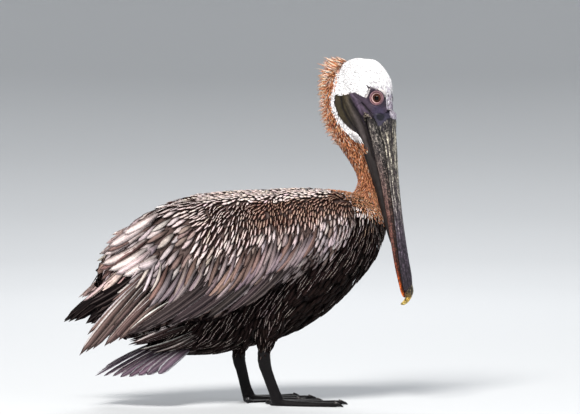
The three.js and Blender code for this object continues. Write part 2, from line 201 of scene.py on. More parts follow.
# Distance to an open line, and how far along it the nearest point is.
def awayFromLine(line, x, y):
    best = np.full(len(x), 1e9)
    along = np.zeros(len(x))
    line = np.asarray(line, float)
    lengths = np.linalg.norm(np.diff(line, axis=0), axis=1)
    run = np.concatenate([[0], np.cumsum(lengths)]) / lengths.sum()
    for i in range(len(line) - 1):
        a, b = line[i], line[i + 1]
        t = np.clip(((x - a[0]) * (b[0] - a[0]) + (y - a[1]) * (b[1] - a[1])) / lengths[i] ** 2, 0, 1)
        gap = np.hypot(x - a[0] - t * (b[0] - a[0]), y - a[1] - t * (b[1] - a[1]))
        nearer = gap < best
        best[nearer] = gap[nearer]
        along[nearer] = (run[i] + t * (run[i + 1] - run[i]))[nearer]
    return best, along


# Markings, shared by the skin and the coat.
marks = {
    # the bare face's edge on the side of the head: along the bill, towards the crown
    "face": [(14, 60), (16.3, 17.2), (8, 13.8), (-2.2, 10.9), (-10.3, 11.0), (-23.8, 11.6), (-31, 8), (-37.5, 2.1),
             (-41.5, -8.9), (-34.6, -12.8), (-25.9, -18.5), (-33.8, -28), (-38.3, -38), (-35.7, -54),
             (-41.8, -65.5), (-38.9, -70.3), (-24.6, -74.3), (-4.2, -70.2), (14.0, -58.5), (29.2, -43),
             (60, -30), (60, -90), (420, -90), (420, 60)],
    # where white turns to chestnut behind the face
    "white": [(-108, -20), (-104, -40), (-91.9, -54), (-77.8, -61), (-61.9, -66.5), (-49.2, -71.6),
              (-38.4, -78.2), (-28.8, -81.1), (-13.9, -80.4), (4.9, -75.5), (22.7, -66), (38.3, -54),
              (44.5, -47), (42, -30), (30, -10), (70, 20), (70, 60), (-108, 60)],
}


def isBareFace(points, onPouch):
    local = toHead(points)
    near = (local[:, 2] > -84) & (local[:, 0] > -45) & ((local[:, 0] < 44) | onPouch)
    seen = local[:, 2] + 0.3 * (29 - np.abs(local[:, 1])) * smoothStep(-34, -48, local[:, 2])
    return near & insideOutline(np.array(marks["face"]), local[:, 0], seen)


def isWhite(points):
    local = toHead(points)
    return insideOutline(np.array(marks["white"]), local[:, 0], local[:, 2]) & (points[:, 2] > 0.36)


fleshNodes = ["trunk", "neck", "head", "pouch", "thigh_right", "thigh_left", "wing_right", "wing_left",
              "leg_right", "leg_left", "foot_right", "foot_left"]
surface = {"voxel": 1.7, "swell": 0.3, "shellRounds": 6}


def nodeTree(names):
    corners, faces, owners = [], [], []
    count = 0
    for owner, name in enumerate(names):
        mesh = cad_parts[name].data
        points = np.empty(len(mesh.vertices) * 3)
        mesh.vertices.foreach_get("co", points)
        corners.append(points.reshape(-1, 3))
        faces += [tuple(v + count for v in face.vertices) for face in mesh.polygons]
        owners += [owner] * len(mesh.polygons)
        count += len(mesh.vertices)
    return BVHTree.FromPolygons(np.concatenate(corners).tolist(), faces), np.array(owners)


fleshTree, fleshOwner = nodeTree(fleshNodes)


def nearestNode(points):
    return fleshOwner[[fleshTree.find_nearest(point)[2] for point in points]]


# One closed surface round several nodes.
def joinNodes(name, nodes, swell, voxel):
    shape = bmesh.new()
    for node in nodes:
        shape.from_mesh(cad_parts[node].data)
    bmesh.ops.remove_doubles(shape, verts=shape.verts, dist=1e-5)
    shape.normal_update()
    for vertex in shape.verts:
        vertex.co += vertex.normal * swell
    mesh = bpy.data.meshes.new(name)
    shape.to_mesh(mesh)
    shape.free()
    piece = bpy.data.objects.new(name, mesh)
    bpy.context.scene.collection.objects.link(piece)
    activate(piece)
    remesh = piece.modifiers.new("remesh", "REMESH")
    remesh.mode = "VOXEL"
    remesh.voxel_size = voxel
    bpy.ops.object.modifier_apply(modifier="remesh")
    keepLargest(piece)
    return piece


def keepLargest(piece):
    shape = bmesh.new()
    shape.from_mesh(piece.data)
    shape.verts.ensure_lookup_table()
    island = np.full(len(shape.verts), -1)
    sizes = []
    for seed in shape.verts:
        if island[seed.index] >= 0:
            continue
        stack, label = [seed], len(sizes)
        island[seed.index] = label
        size = 0
        while stack:
            vertex = stack.pop()
            size += 1
            for edge in vertex.link_edges:
                other = edge.other_vert(vertex)
                if island[other.index] < 0:
                    island[other.index] = label
                    stack.append(other)
        sizes.append(size)
    largest = int(np.argmax(sizes))
    spare = [v for v in shape.verts if island[v.index] != largest]
    bmesh.ops.delete(shape, geom=spare, context="VERTS")
    shape.to_mesh(piece.data)
    shape.free()


def pointsOf(mesh):
    points = np.empty(len(mesh.vertices) * 3)
    mesh.vertices.foreach_get("co", points)
    return points.reshape(-1, 3)


def normalsOf(mesh):
    normals = np.empty(len(mesh.vertices) * 3)
    mesh.vertex_normals.foreach_get("vector", normals)
    return normals.reshape(-1, 3)


def edgesOf(mesh):
    edges = np.empty(len(mesh.edges) * 2, np.int64)
    mesh.edges.foreach_get("vertices", edges)
    return edges.reshape(-1, 2)


def setPoints(mesh, points):
    mesh.vertices.foreach_set("co", np.ascontiguousarray(points, np.float32).ravel())
    mesh.update()


# One number for each point, which a material reads by name.
def giveValues(mesh, name, value):
    mesh.attributes.new(name, "FLOAT", "POINT").data.foreach_set("value", value.astype(np.float32))


def giveTones(mesh, name, tone):
    values = mesh.attributes.new(name, "FLOAT_COLOR", "POINT")
    values.data.foreach_set("color", np.c_[tone, np.ones(len(tone))].astype(np.float32).ravel())


def turnOutwards(piece):
    shape = bmesh.new()
    shape.from_mesh(piece.data)
    bmesh.ops.recalc_face_normals(shape, faces=shape.faces)
    shape.to_mesh(piece.data)
    shape.free()


# Moves each value towards the mean of its neighbours.
def relax(values, edges, rounds, share=0.5):
    flat = values.reshape(len(values), -1).copy()
    ends = np.concatenate([edges[:, 0], edges[:, 1]])
    starts = np.concatenate([edges[:, 1], edges[:, 0]])
    number = np.maximum(np.bincount(ends, minlength=len(flat)), 1)[:, None]
    amount = share if np.isscalar(share) else share.reshape(-1, 1)
    for _ in range(rounds):
        mean = np.stack([np.bincount(ends, flat[starts, k], len(flat)) for k in range(flat.shape[1])], 1)
        flat += (mean / number - flat) * amount
    return flat.reshape(values.shape)


print("outer surface")
skin = joinNodes("skin", fleshNodes, surface["swell"] * mm, surface["voxel"] * mm)
outerEdges = edgesOf(skin.data)
outerPoints = pointsOf(skin.data)
outerNode = nearestNode(outerPoints)
nodeNumber = {name: number for number, name in enumerate(fleshNodes)}
thin = np.isin(outerNode, [nodeNumber[n] for n in ("foot_right", "foot_left", "leg_right", "leg_left")])
outerPoints = relax(outerPoints, outerEdges, surface["shellRounds"] * 2, np.where(thin, 0.12, 0.5))
setPoints(skin.data, outerPoints)
outerNormals = normalsOf(skin.data)
outerFaces = [tuple(face.vertices) for face in skin.data.polygons]
outerTree = BVHTree.FromPolygons(outerPoints.tolist(), outerFaces)
print("outer surface has", len(outerFaces), "faces")

skinShape = {
    "depth": {"trunk": 7.0, "neck": 4.5, "head": 2.2, "pouch": 0.0, "thigh": 4.0, "wing": 4.0, "leg": 0.0, "foot": 0.0},
    "lidInner": 7.2, "lidOuter": 11.8, "lidRise": 1.9, "lidUp": -1.1, "lidCrest": 0.16,
    # grooves on the face and pouch: line along the bill and towards the crown, depth, half width
    "grooves": [
        ([(-36.6, -63.5), (-14.4, -62.8), (0.7, -57.7), (14.9, -51.3), (25.6, -45.6), (40, -41)], 2.8, 2.6),
        ([(-32.9, -59.4), (-10.4, -53.7), (13.3, -46.4), (57.8, -38), (110, -31), (160, -24)], 1.2, 2.4),
        ([(-26.9, -47.3), (-4.5, -37.1), (10.8, -31), (27, -27.9), (48, -25.6), (76, -22)], 2.8, 2.3),
        ([(-18.9, -27.1), (-5.4, -18.3), (9.1, -8.4), (20, -5)], 2.6, 2.0),
        ([(-15.5, -36.5), (-18.8, -28.2), (-11.3, -21.3)], 0.9, 1.0),
        ([(-33.6, -13.2), (-39.7, -8.9), (-37.5, 2.1)], 0.8, 1.2),
        ([(-22.1, -15.7), (-11.5, -11.9), (-5, -4)], 0.7, 0.9),
        ([(-33.5, -50), (-25.5, -45), (-18, -40.5)], 0.9, 0.8),
        ([(-28.5, -54.5), (-19.2, -46.5), (-5.2, -41)], 0.9, 0.8),
        ([(-34.5, -40), (-28, -34.5), (-23, -28)], 0.9, 0.8), ([(-31, -45), (-24, -39)], 0.6, 0.7),
    ],
    "ridges": [
        ([(-33.9, -42), (-24.8, -36.2), (-14.6, -34), (-0.8, -32.4)], 1.4, 2.6),
        ([(-12, -28), (0, -22), (12, -15)], 1.0, 2.2),
        ([(4, 4), (12, 3.4)], 1.8, 3.6),
        ([(-30, -53), (-8, -46), (14, -38), (56, -31)], 1.4, 3.0),
    ],
}


def depthByNode(node):
    table = np.array([skinShape["depth"][name.split("_")[0]] for name in fleshNodes])
    return table[node] * mm


def refineNear(piece, chosen):
    shape = bmesh.new()
    shape.from_mesh(piece.data)
    shape.verts.ensure_lookup_table()
    edges = [e for e in shape.edges if chosen[e.verts[0].index] and chosen[e.verts[1].index]]
    bmesh.ops.subdivide_edges(shape, edges=edges, cuts=1, use_grid_fill=True, smooth=0.0)
    bmesh.ops.triangulate(shape, faces=[f for f in shape.faces if len(f.verts) > 4])
    shape.to_mesh(piece.data)
    shape.free()


# Keeps the pouch's skin behind the sides of the lower jaw, down to the jaw's lower edge.
def tuckBehindJaw(points):
    local = toHead(points)
    along, side, up = local.T
    edge = np.interp(along, [12, 36, 64, 120, 180, 236, 274], [-29.5, -25.5, -22, -16.8, -14, -11.5, -9])
    half = np.interp(along, [12, 36, 64, 120, 180, 236], [25.5, 24.5, 22, 18, 16, 17])
    near = smoothStep(14, 30, along) * smoothStep(260, 240, along)
    inside = smoothStep(-0.5, 2.5, up - edge) * near * (np.abs(side) > 2) * (up < 12)
    limit = np.minimum(np.abs(side), half - 4.5)
    local[:, 1] = np.sign(side) * (np.abs(side) * (1 - inside) + limit * inside)
    return fromHead(local)


# The upper horn's section near its base: height of the mouth, of the culmen above it, half width.
def hornSection(along):
    return [np.interp(along, [-6, 12, 36], column) for column in ([-19, -9.5, -4], [24, 27, 19], [24, 25.5, 24.5])]


# Lays the bare skin at the bill's base onto the upper horn, so that it runs out over it.
def raiseToHorn(points):
    local = toHead(points)
    along, side, up = local.T
    mouth, culmen, half = hornSection(along)
    high = np.maximum(up - mouth, 0)
    # 1 on the horn's surface, less inside it
    reach = ((np.abs(side) / half) ** 2.22 + (high / culmen) ** 2.22) ** 0.45
    wanted = np.interp(along, [-4, 2, 5, 8, 10], [1.035, 1.028, 1.008, 0.972, 0.93])
    share = smoothStep(-10, 1, along) * (along < 22) * (reach > 0.5) * smoothStep(-3, 2, up - mouth)
    share = share * np.maximum(isBareFace(points, False), smoothStep(3, 7, along))
    change = wanted / np.maximum(reach, 0.3)
    change = np.where(along < 4, np.maximum(change, 1), change)
    grown = 1 + (change - 1) * share
    local[:, 1] = side * grown
    local[:, 2] = mouth + (up - mouth) * grown
    return fromHead(local)


def carveFace(points, normals):
    local = toHead(points)
    along, side, up = local.T
    move = np.zeros(len(points))
    near = (along > -60) & (along < 240) & (up > -90) & (np.abs(side) > 3)
    x, y = along[near], up[near]
    carved = np.zeros(len(x))
    for lines, sign in ((skinShape["grooves"], -1), (skinShape["ridges"], 1)):
        for line, depth, width in lines:
            gap, share = awayFromLine(line, x, y)
            fade = np.minimum(1, 6 * np.minimum(share + 0.05, 1.05 - share))
            carved += sign * depth * fade * np.exp(-(gap / width) ** 2)
    fine = np.sin(y * 2.1 + 1.3 * np.sin(x * 0.35)) * 0.12 + np.sin(x * 1.1 - y * 1.7) * 0.08
    move[near] = (carved + fine * (x < 20)) * mm
    return points + normals * move[:, None]


# Distance and turn round the middle of the eye, seen from the side.
def roundEye(local):
    along, up = local[:, 0] - headTurn["eyeAlong"], local[:, 2] - skinShape["lidUp"]
    return np.hypot(along, up), np.arctan2(up, along)


# The fold of the lid behind and below the eye: how near it is.
def lidFold(away, angle, width):
    return np.exp(-((away - 9.6 - 0.5 * np.cos(angle - 2.4)) / width) ** 2) * smoothStep(-0.6, 0.4, np.cos(angle + 2.2))


# Raises the two lids round each eye and sinks the skin behind the eyeball.
def carveLids(points):
    local = toHead(points)
    for sign in (-1, 1):
        away, angle = roundEye(local)
        lidOuter = skinShape["lidOuter"] * (1 + 0.08 * np.cos(angle + 2.1))
        near = (away < 18) & (local[:, 1] * sign > 12)
        r = away[near]
        outer = lidOuter[near]
        base = 27.2 + 0.02 * (local[near, 2] + local[near, 0] + 23)
        settle = smoothStep(18, outer + 0.5, r)
        side = local[near, 1] * sign
        side = side + (base - side) * settle
        share = np.clip((r - skinShape["lidInner"]) / (outer - skinShape["lidInner"]), 0, 1)
        crest = skinShape["lidCrest"]
        fromCrest = (share - crest) / np.where(share < crest, crest, 1 - crest)
        rim = skinShape["lidRise"] * np.sqrt(np.clip(1 - fromCrest ** 2, 0, 1))
        crease = 0.7 * lidFold(r, angle[near], 0.5)
        wrinkle = 0.16 * np.sin(r * 3.4 + 1.2 * np.sin(angle[near] * 5)) * (share > 0.2) * (share < 1) - crease
        moat = -0.9 * np.exp(-((r - outer - 0.6) / 0.9) ** 2)
        behind = -6.5 * smoothStep(skinShape["lidInner"] + 0.1, skinShape["lidInner"] - 0.9, r)
        side = side + rim * (share > 0) + wrinkle + moat + behind
        local[near, 1] = side * sign
    return fromHead(local)


def makeSkin():
    depth = relax(depthByNode(outerNode), outerEdges, 12)
    onPouch = outerNode == nodeNumber["pouch"]
    bare = isBareFace(outerPoints, onPouch) | onPouch
    depth = np.where(bare, 0.0, depth)
    depth = relax(depth, outerEdges, 2)
    soft = relax(outerNormals, outerEdges, 6)
    points = outerPoints - unit(soft) * depth[:, None]
    setPoints(skin.data, points)
    covered = ~(relax(bare.astype(float), outerEdges, 5) > 0.02) & ~thin
    group = skin.vertex_groups.new(name="covered")
    group.add(np.nonzero(covered)[0].tolist(), 1.0, "REPLACE")
    activate(skin)
    thinning = skin.modifiers.new("thinning", "DECIMATE")
    thinning.ratio = 0.5
    thinning.vertex_group = "covered"
    bpy.ops.object.modifier_apply(modifier="thinning")
    print("skin thinned to", len(skin.data.polygons))
    current = pointsOf(skin.data)
    local = toHead(current)
    feature = isBareFace(current, local[:, 0] < 70) & (local[:, 0] < 70)
    refineNear(skin, feature)
    for reach in (14.5, 14.0):
        local = toHead(pointsOf(skin.data))
        refineNear(skin, (roundEye(local)[0] < reach) & (np.abs(local[:, 1]) > 15) & (local[:, 0] < 60))
    points = carveFace(raiseToHorn(pointsOf(skin.data)), normalsOf(skin.data))
    points = tuckBehindJaw(carveLids(points))
    points[:, 2] = np.maximum(points[:, 2], 0)
    setPoints(skin.data, points)


print("skin")
makeSkin()
print("skin has", len(skin.data.polygons), "faces")


def addNode(tree, kind, inputs=None, **settings):
    made = tree.nodes.new(kind)
    for key, value in settings.items():
        setattr(made, key, value)
    for key, value in (inputs or {}).items():
        if isinstance(value, bpy.types.NodeSocket):
            tree.links.new(value, made.inputs[key])
        else:
            made.inputs[key].default_value = value
    return made


def calc(tree, operation, *values):
    return addNode(tree, "ShaderNodeMath", dict(enumerate(values)), operation=operation).outputs[0]


def blendTones(tree, share, first, second, way="MIX"):
    made = addNode(tree, "ShaderNodeMix", data_type="RGBA", blend_type=way)
    for socket, value in ((made.inputs[0], share), (made.inputs[6], first), (made.inputs[7], second)):
        if isinstance(value, bpy.types.NodeSocket):
            tree.links.new(value, socket)
        elif socket.type == "RGBA":
            socket.default_value = (*value[:3], 1)
        else:
            socket.default_value = value
    return made.outputs[2]


def spread(tree, value, low, high, newLow=0.0, newHigh=1.0):
    made = addNode(tree, "ShaderNodeMapRange", {0: value, 1: low, 2: high, 3: newLow, 4: newHigh},
                   interpolation_type="SMOOTHSTEP")
    return made.outputs[0]


def readValue(tree, name):
    return addNode(tree, "ShaderNodeAttribute", attribute_name=name).outputs["Fac"]


def readTone(tree, name):
    return addNode(tree, "ShaderNodeAttribute", attribute_name=name).outputs["Color"]


def noiseOf(tree, vector, scale, detail=2.0, roughness=0.5):
    return addNode(tree, "ShaderNodeTexNoise",
                   {"Vector": vector, "Scale": scale, "Detail": detail, "Roughness": roughness}).outputs["Fac"]


def placeOn(tree):
    return addNode(tree, "ShaderNodeTexCoord").outputs["Object"]


def newMaterial(name, roughness):
    material = bpy.data.materials.new(name)
    material.use_nodes = True
    tree = material.node_tree
    shader = tree.nodes["Principled BSDF"]
    shader.inputs["Roughness"].default_value = roughness
    return material, tree, shader


def addBump(tree, shader, height, distance):
    made = addNode(tree, "ShaderNodeBump", {"Height": height, "Distance": distance, "Strength": 1.0})
    tree.links.new(made.outputs[0], shader.inputs["Normal"])


def newGroup(name, inputs, outputs):
    group = bpy.data.node_groups.new(name, "ShaderNodeTree")
    for socketName, kind, value in inputs:
        socket = group.interface.new_socket(name=socketName, in_out="INPUT", socket_type="NodeSocket" + kind)
        if value is not None:
            socket.default_value = value
    for socketName, kind in outputs:
        group.interface.new_socket(name=socketName, in_out="OUTPUT", socket_type="NodeSocket" + kind)
    return group, group.nodes.new("NodeGroupInput"), group.nodes.new("NodeGroupOutput")


# The pattern of one vane: a pale or grey core, its edge colour, the shaft and the fine slanting barbs.
def makeVaneGroup():
    inputs = [("Core", "Color", (0.5, 0.5, 0.5, 1)), ("Edge", "Color", (0.1, 0.1, 0.1, 1)), ("Stripe", "Float", 0.5),
              ("Span", "Float", 20.0), ("Shaft", "Color", (0.5, 0.45, 0.4, 1)), ("ShaftShare", "Float", 0.3),
              ("Across", "Float", 0.5), ("Along", "Float", 0.5), ("BaseShade", "Float", 0.4), ("Lean", "Float", 0.0),
              ("Place", "Vector", None)]
    group, given, result = newGroup("vanePattern", inputs, [("Colour", "Color"), ("Height", "Float")])
    take = given.outputs
    signed = calc(group, "MULTIPLY_ADD", take["Across"], 2.0, -1.0)
    side = calc(group, "ABSOLUTE", signed)
    ragged = calc(group, "SUBTRACT", noiseOf(group, take["Place"], 900.0), 0.5)
    leaning = calc(group, "MULTIPLY_ADD", signed, take["Lean"], side)
    reach = calc(group, "MULTIPLY_ADD", ragged, 0.5, leaning)
    edge = spread(group, calc(group, "SUBTRACT", reach, take["Stripe"]), -0.12, 0.12)
    tone = blendTones(group, edge, take["Core"], take["Edge"])
    barb = calc(group, "SINE", calc(group, "MULTIPLY_ADD", calc(group, "MULTIPLY", take["Along"], take["Span"]), 5.5,
                                    calc(group, "MULTIPLY", side, -7.0)))
    shade = calc(group, "MULTIPLY_ADD", barb, 0.07, 0.97)
    shaded = blendTones(group, 1.0, tone, shade, "MULTIPLY")
    mottle = spread(group, noiseOf(group, take["Place"], 260.0, 3.0), 0.3, 0.7, 0.82, 1.12)
    strand = addNode(group, "ShaderNodeCombineXYZ", {0: calc(group, "MULTIPLY", take["Across"], 7.0),
                                                     1: calc(group, "MULTIPLY", take["Along"], 1.3),
                                                     2: calc(group, "MULTIPLY", take["Span"], 3.1)}).outputs[0]
    strands = spread(group, noiseOf(group, strand, 1.0, 3.0, 0.6), 0.34, 0.66, 0.72, 1.14)
    streaked = blendTones(group, 1.0, shaded, strands, "MULTIPLY")
    mottled = blendTones(group, 1.0, streaked, mottle, "MULTIPLY")
    shaft = spread(group, side, 0.16, 0.05, 0.0, 1.0)
    shaftAmount = calc(group, "MULTIPLY", shaft, take["ShaftShare"])
    # painted shade: each vane darkens towards its base, where the feathers lying over it would shade it
    covered = spread(group, take["Along"], 0.12, 0.55, take["BaseShade"], 1.0)
    bright = blendTones(group, 0.25, blendTones(group, 1.0, tone, (1.7, 1.7, 1.7), "MULTIPLY"), take["Shaft"])
    lined = blendTones(group, shaftAmount, mottled, bright)
    group.links.new(blendTones(group, 1.0, lined, covered, "MULTIPLY"), result.inputs["Colour"])
    height = calc(group, "ADD", calc(group, "MULTIPLY", barb, 0.25), shaft)
    group.links.new(height, result.inputs["Height"])
    return group


vaneGroup = makeVaneGroup()


def makeVaneMaterial(name, roughness, shaft, shaftShare, bump, baseShade):
    material, tree, shader = newMaterial(name, roughness)
    place = placeOn(tree)
    vane = addNode(tree, "ShaderNodeUVMap", uv_map="vane").outputs["UV"]
    parts = addNode(tree, "ShaderNodeSeparateXYZ", {0: vane}).outputs
    pattern = addNode(tree, "ShaderNodeGroup", node_tree=vaneGroup)
    for socket, value in (("Core", readTone(tree, "coreTone")), ("Edge", readTone(tree, "edgeTone")),
                          ("Stripe", readValue(tree, "stripe")), ("Span", readValue(tree, "span")),
                          ("Across", parts[0]), ("Along", parts[1]), ("Lean", readValue(tree, "lean")),
                          ("Place", place)):
        tree.links.new(value, pattern.inputs[socket])
    pattern.inputs["Shaft"].default_value = (*paint(*shaft), 1)
    pattern.inputs["ShaftShare"].default_value = shaftShare
    # how dark the painted shade at each vane's base gets
    pattern.inputs["BaseShade"].default_value = baseShade
    tree.links.new(pattern.outputs["Colour"], shader.inputs["Base Color"])
    addBump(tree, shader, pattern.outputs["Height"], bump * mm)
    shader.inputs["Specular IOR Level"].default_value = 0.06
    return material


# Spreads roots over the chosen faces: each keeps its own room across and along its lie.
def scatter(chosen, lieAt, tightness=0.8, extra=4.0):
    faces = np.array([face for face, keep in zip(outerFaces, chosen) if keep])
    corners = outerPoints[faces]
    area = 0.5 * (np.linalg.norm(np.cross(corners[:, 1] - corners[:, 0], corners[:, 2] - corners[:, 0]), axis=1)
                  + np.linalg.norm(np.cross(corners[:, 2] - corners[:, 0], corners[:, 3] - corners[:, 0]), axis=1))
    lie, longRoom, wideRoom = lieAt(corners.mean(1))
    weight = area / (longRoom * wideRoom * mm * mm)
    number = int(weight.sum() * extra)
    pick = random.choice(len(faces), number, p=weight / weight.sum())
    u, v = random.random((2, number, 1))
    quad = corners[pick]
    spots = (quad[:, 0] * (1 - u) + quad[:, 1] * u) * (1 - v) + (quad[:, 3] * (1 - u) + quad[:, 2] * u) * v
    normals = unit(outerNormals[faces[pick]].mean(1))
    lie = unit(lie[pick] - normals * dots(normals, lie[pick]))
    long, wide = longRoom[pick] * tightness * mm, wideRoom[pick] * tightness * mm
    cell = float(long.max())
    keys = np.floor(spots / cell).astype(int).tolist()
    spotList, lieList = spots.tolist(), lie.tolist()
    stretch, room = (1 - (wide / long) ** 2).tolist(), (wide ** 2).tolist()
    grid, kept = {}, []
    around = [(i, j, k) for i in (-1, 0, 1) for j in (-1, 0, 1) for k in (-1, 0, 1)]
    for index in range(number):
        x, y, z = spotList[index]
        lx, ly, lz = lieList[index]
        a, b, c = keys[index]
        limit, share = room[index], stretch[index]
        free = True
        for i, j, k in around:
            for px, py, pz in grid.get((a + i, b + j, c + k), ()):
                dx, dy, dz = px - x, py - y, pz - z
                along = dx * lx + dy * ly + dz * lz
                if dx * dx + dy * dy + dz * dz - share * along * along < limit:
                    free = False
                    break
            if not free:
                break
        if free:
            grid.setdefault((a, b, c), []).append((x, y, z))
            kept.append(index)
    return spots[kept], normals[kept]


# Carries each feather's middle line over the surface, straight on past an edge.
def march(roots, normals, directions, lengths, steps, reach):
    lines, faces = [], []
    position, face = roots.copy(), normals.copy()
    heading = unit(directions - face * dots(face, directions))
    before = 0.0
    for step in steps:
        target = position + heading * (lengths * (step - before))[:, None]
        for index, point in enumerate(target):
            hit, turned, _, gap = outerTree.find_nearest(point)
            if gap < reach:
                target[index] = hit
                face[index] = 0.5 * face[index] + 0.5 * np.array(turned)
        face = unit(face)
        if step > before:
            heading = unit(target - position)
        heading = unit(heading - face * dots(face, heading))
        position = target
        lines.append(position.copy())
        faces.append(face.copy())
        before = step
    return np.stack(lines, 1), np.stack(faces, 1)


# Vanes as arrays: pointed at both ends, with rings of three or four corners between.
def makeVanes(roots, normals, directions, lengths, widths, profile, sink=3.0, lift=0.3, sides=4, thick=0.1,
              camber=0.25, turn=0.1, reach=4.0, line=None):
    steps = np.array([at for at, _ in profile])
    breadth = np.array([wide for _, wide in profile])
    number = len(roots)
    lengths, widths = np.broadcast_to(lengths, number) * mm, np.broadcast_to(widths, number) * mm / 2
    sink, lift = np.broadcast_to(sink, number) * mm, np.broadcast_to(lift, number) * mm
    if line is None:
        middle, face = march(roots, normals, directions, lengths, steps, reach * mm)
    else:
        middle, face = line
    rise = -sink[:, None] + (sink + lift)[:, None] * steps[None] ** 0.55
    middle = middle + face * rise[..., None]
    heading = unit(np.gradient(middle, axis=1))
    left = unit(np.cross(face, heading))
    roll = random.normal(0, turn, number)[:, None, None]
    left, face = left * np.cos(roll) + face * np.sin(roll), face * np.cos(roll) - left * np.sin(roll)
    wide = (widths[:, None] * breadth[None])[..., None]
    high = np.maximum(wide * thick, 0.12 * mm)
    droop = wide * camber
    ringsLeft = middle + left * wide - face * droop
    ringsRight = middle - left * wide - face * droop
    ringsTop = middle + face * high
    corners = [ringsLeft, ringsTop, ringsRight]
    if sides == 4:
        corners.append(middle - face * (high * 0.8 + droop * 0.4))
    rings = len(steps) - 2
    body = np.stack([c[:, 1:-1] for c in corners], 2).reshape(number, rings * sides, 3)
    points = np.concatenate([middle[:, :1], body, middle[:, -1:]], 1)
    ringU = [0.0, 0.5, 1.0, 0.5][:sides]
    u = np.array([0.5] + ringU * rings + [0.5])
    v = np.concatenate([[0.0], np.repeat(steps[1:-1], sides), [1.0]])
    quads, tris = [], []
    last = rings * sides + 1
    for j in range(sides):
        k = (j + 1) % sides
        tris.append((0, 1 + k, 1 + j))
        tris.append((1 + (rings - 1) * sides + j, 1 + (rings - 1) * sides + k, last))
        for ring in range(rings - 1):
            a, b = 1 + ring * sides, 1 + (ring + 1) * sides
            quads.append((a + j, a + k, b + k, b + j))
    return {"points": points, "u": u, "v": v, "quads": np.array(quads).reshape(-1, 4), "tris": np.array(tris),
            "roots": roots, "lengths": lengths / mm}


# The unwrap that the coat's bake places come from: the skin's own shape, laid flat in islands.
def makeWrap():
    mesh = skin.data.copy()
    wrap = bpy.data.objects.new("wrap", mesh)
    bpy.context.scene.collection.objects.link(wrap)
    activate(wrap)
    thinner = wrap.modifiers.new("thinner", "DECIMATE")
    thinner.ratio = 8000 / max(1, len(mesh.polygons) * 2)
    bpy.ops.object.modifier_apply(modifier="thinner")
    wrap.modifiers.new("triangles", "TRIANGULATE")
    bpy.ops.object.modifier_apply(modifier="triangles")
    bpy.ops.object.mode_set(mode="EDIT")
    bpy.ops.mesh.select_all(action="SELECT")
    bpy.ops.uv.smart_project(angle_limit=math.radians(66), island_margin=0.004)
    bpy.ops.object.mode_set(mode="OBJECT")
    data = wrap.data
    uv = np.empty(len(data.loops) * 2)
    data.uv_layers.active.data.foreach_get("uv", uv)
    faces = np.array([tuple(face.vertices) for face in data.polygons])
    points = pointsOf(data)
    tree = BVHTree.FromPolygons(points.tolist(), faces.tolist())
    flat = uv.reshape(-1, 3, 2)
    bpy.data.objects.remove(wrap)
    return tree, points[faces], flat


def wrapPlaces(points):
    tree, corners, flat = wrapData
    places = np.empty((len(points), 2))
    for index, point in enumerate(points):
        hit, _, face, _ = tree.find_nearest(point)
        a, b, c = corners[face]
        v0, v1, v2 = b - a, c - a, np.array(hit) - a
        d00, d01, d11, d20, d21 = v0 @ v0, v0 @ v1, v1 @ v1, v2 @ v0, v2 @ v1
        base = max(d00 * d11 - d01 * d01, 1e-20)
        v, w = (d11 * d20 - d01 * d21) / base, (d00 * d21 - d01 * d20) / base
        places[index] = flat[face].T @ (1 - v - w, v, w)
    low, high = places.min(0), places.max(0)
    return (places - low) / np.maximum(high - low, 1e-6)


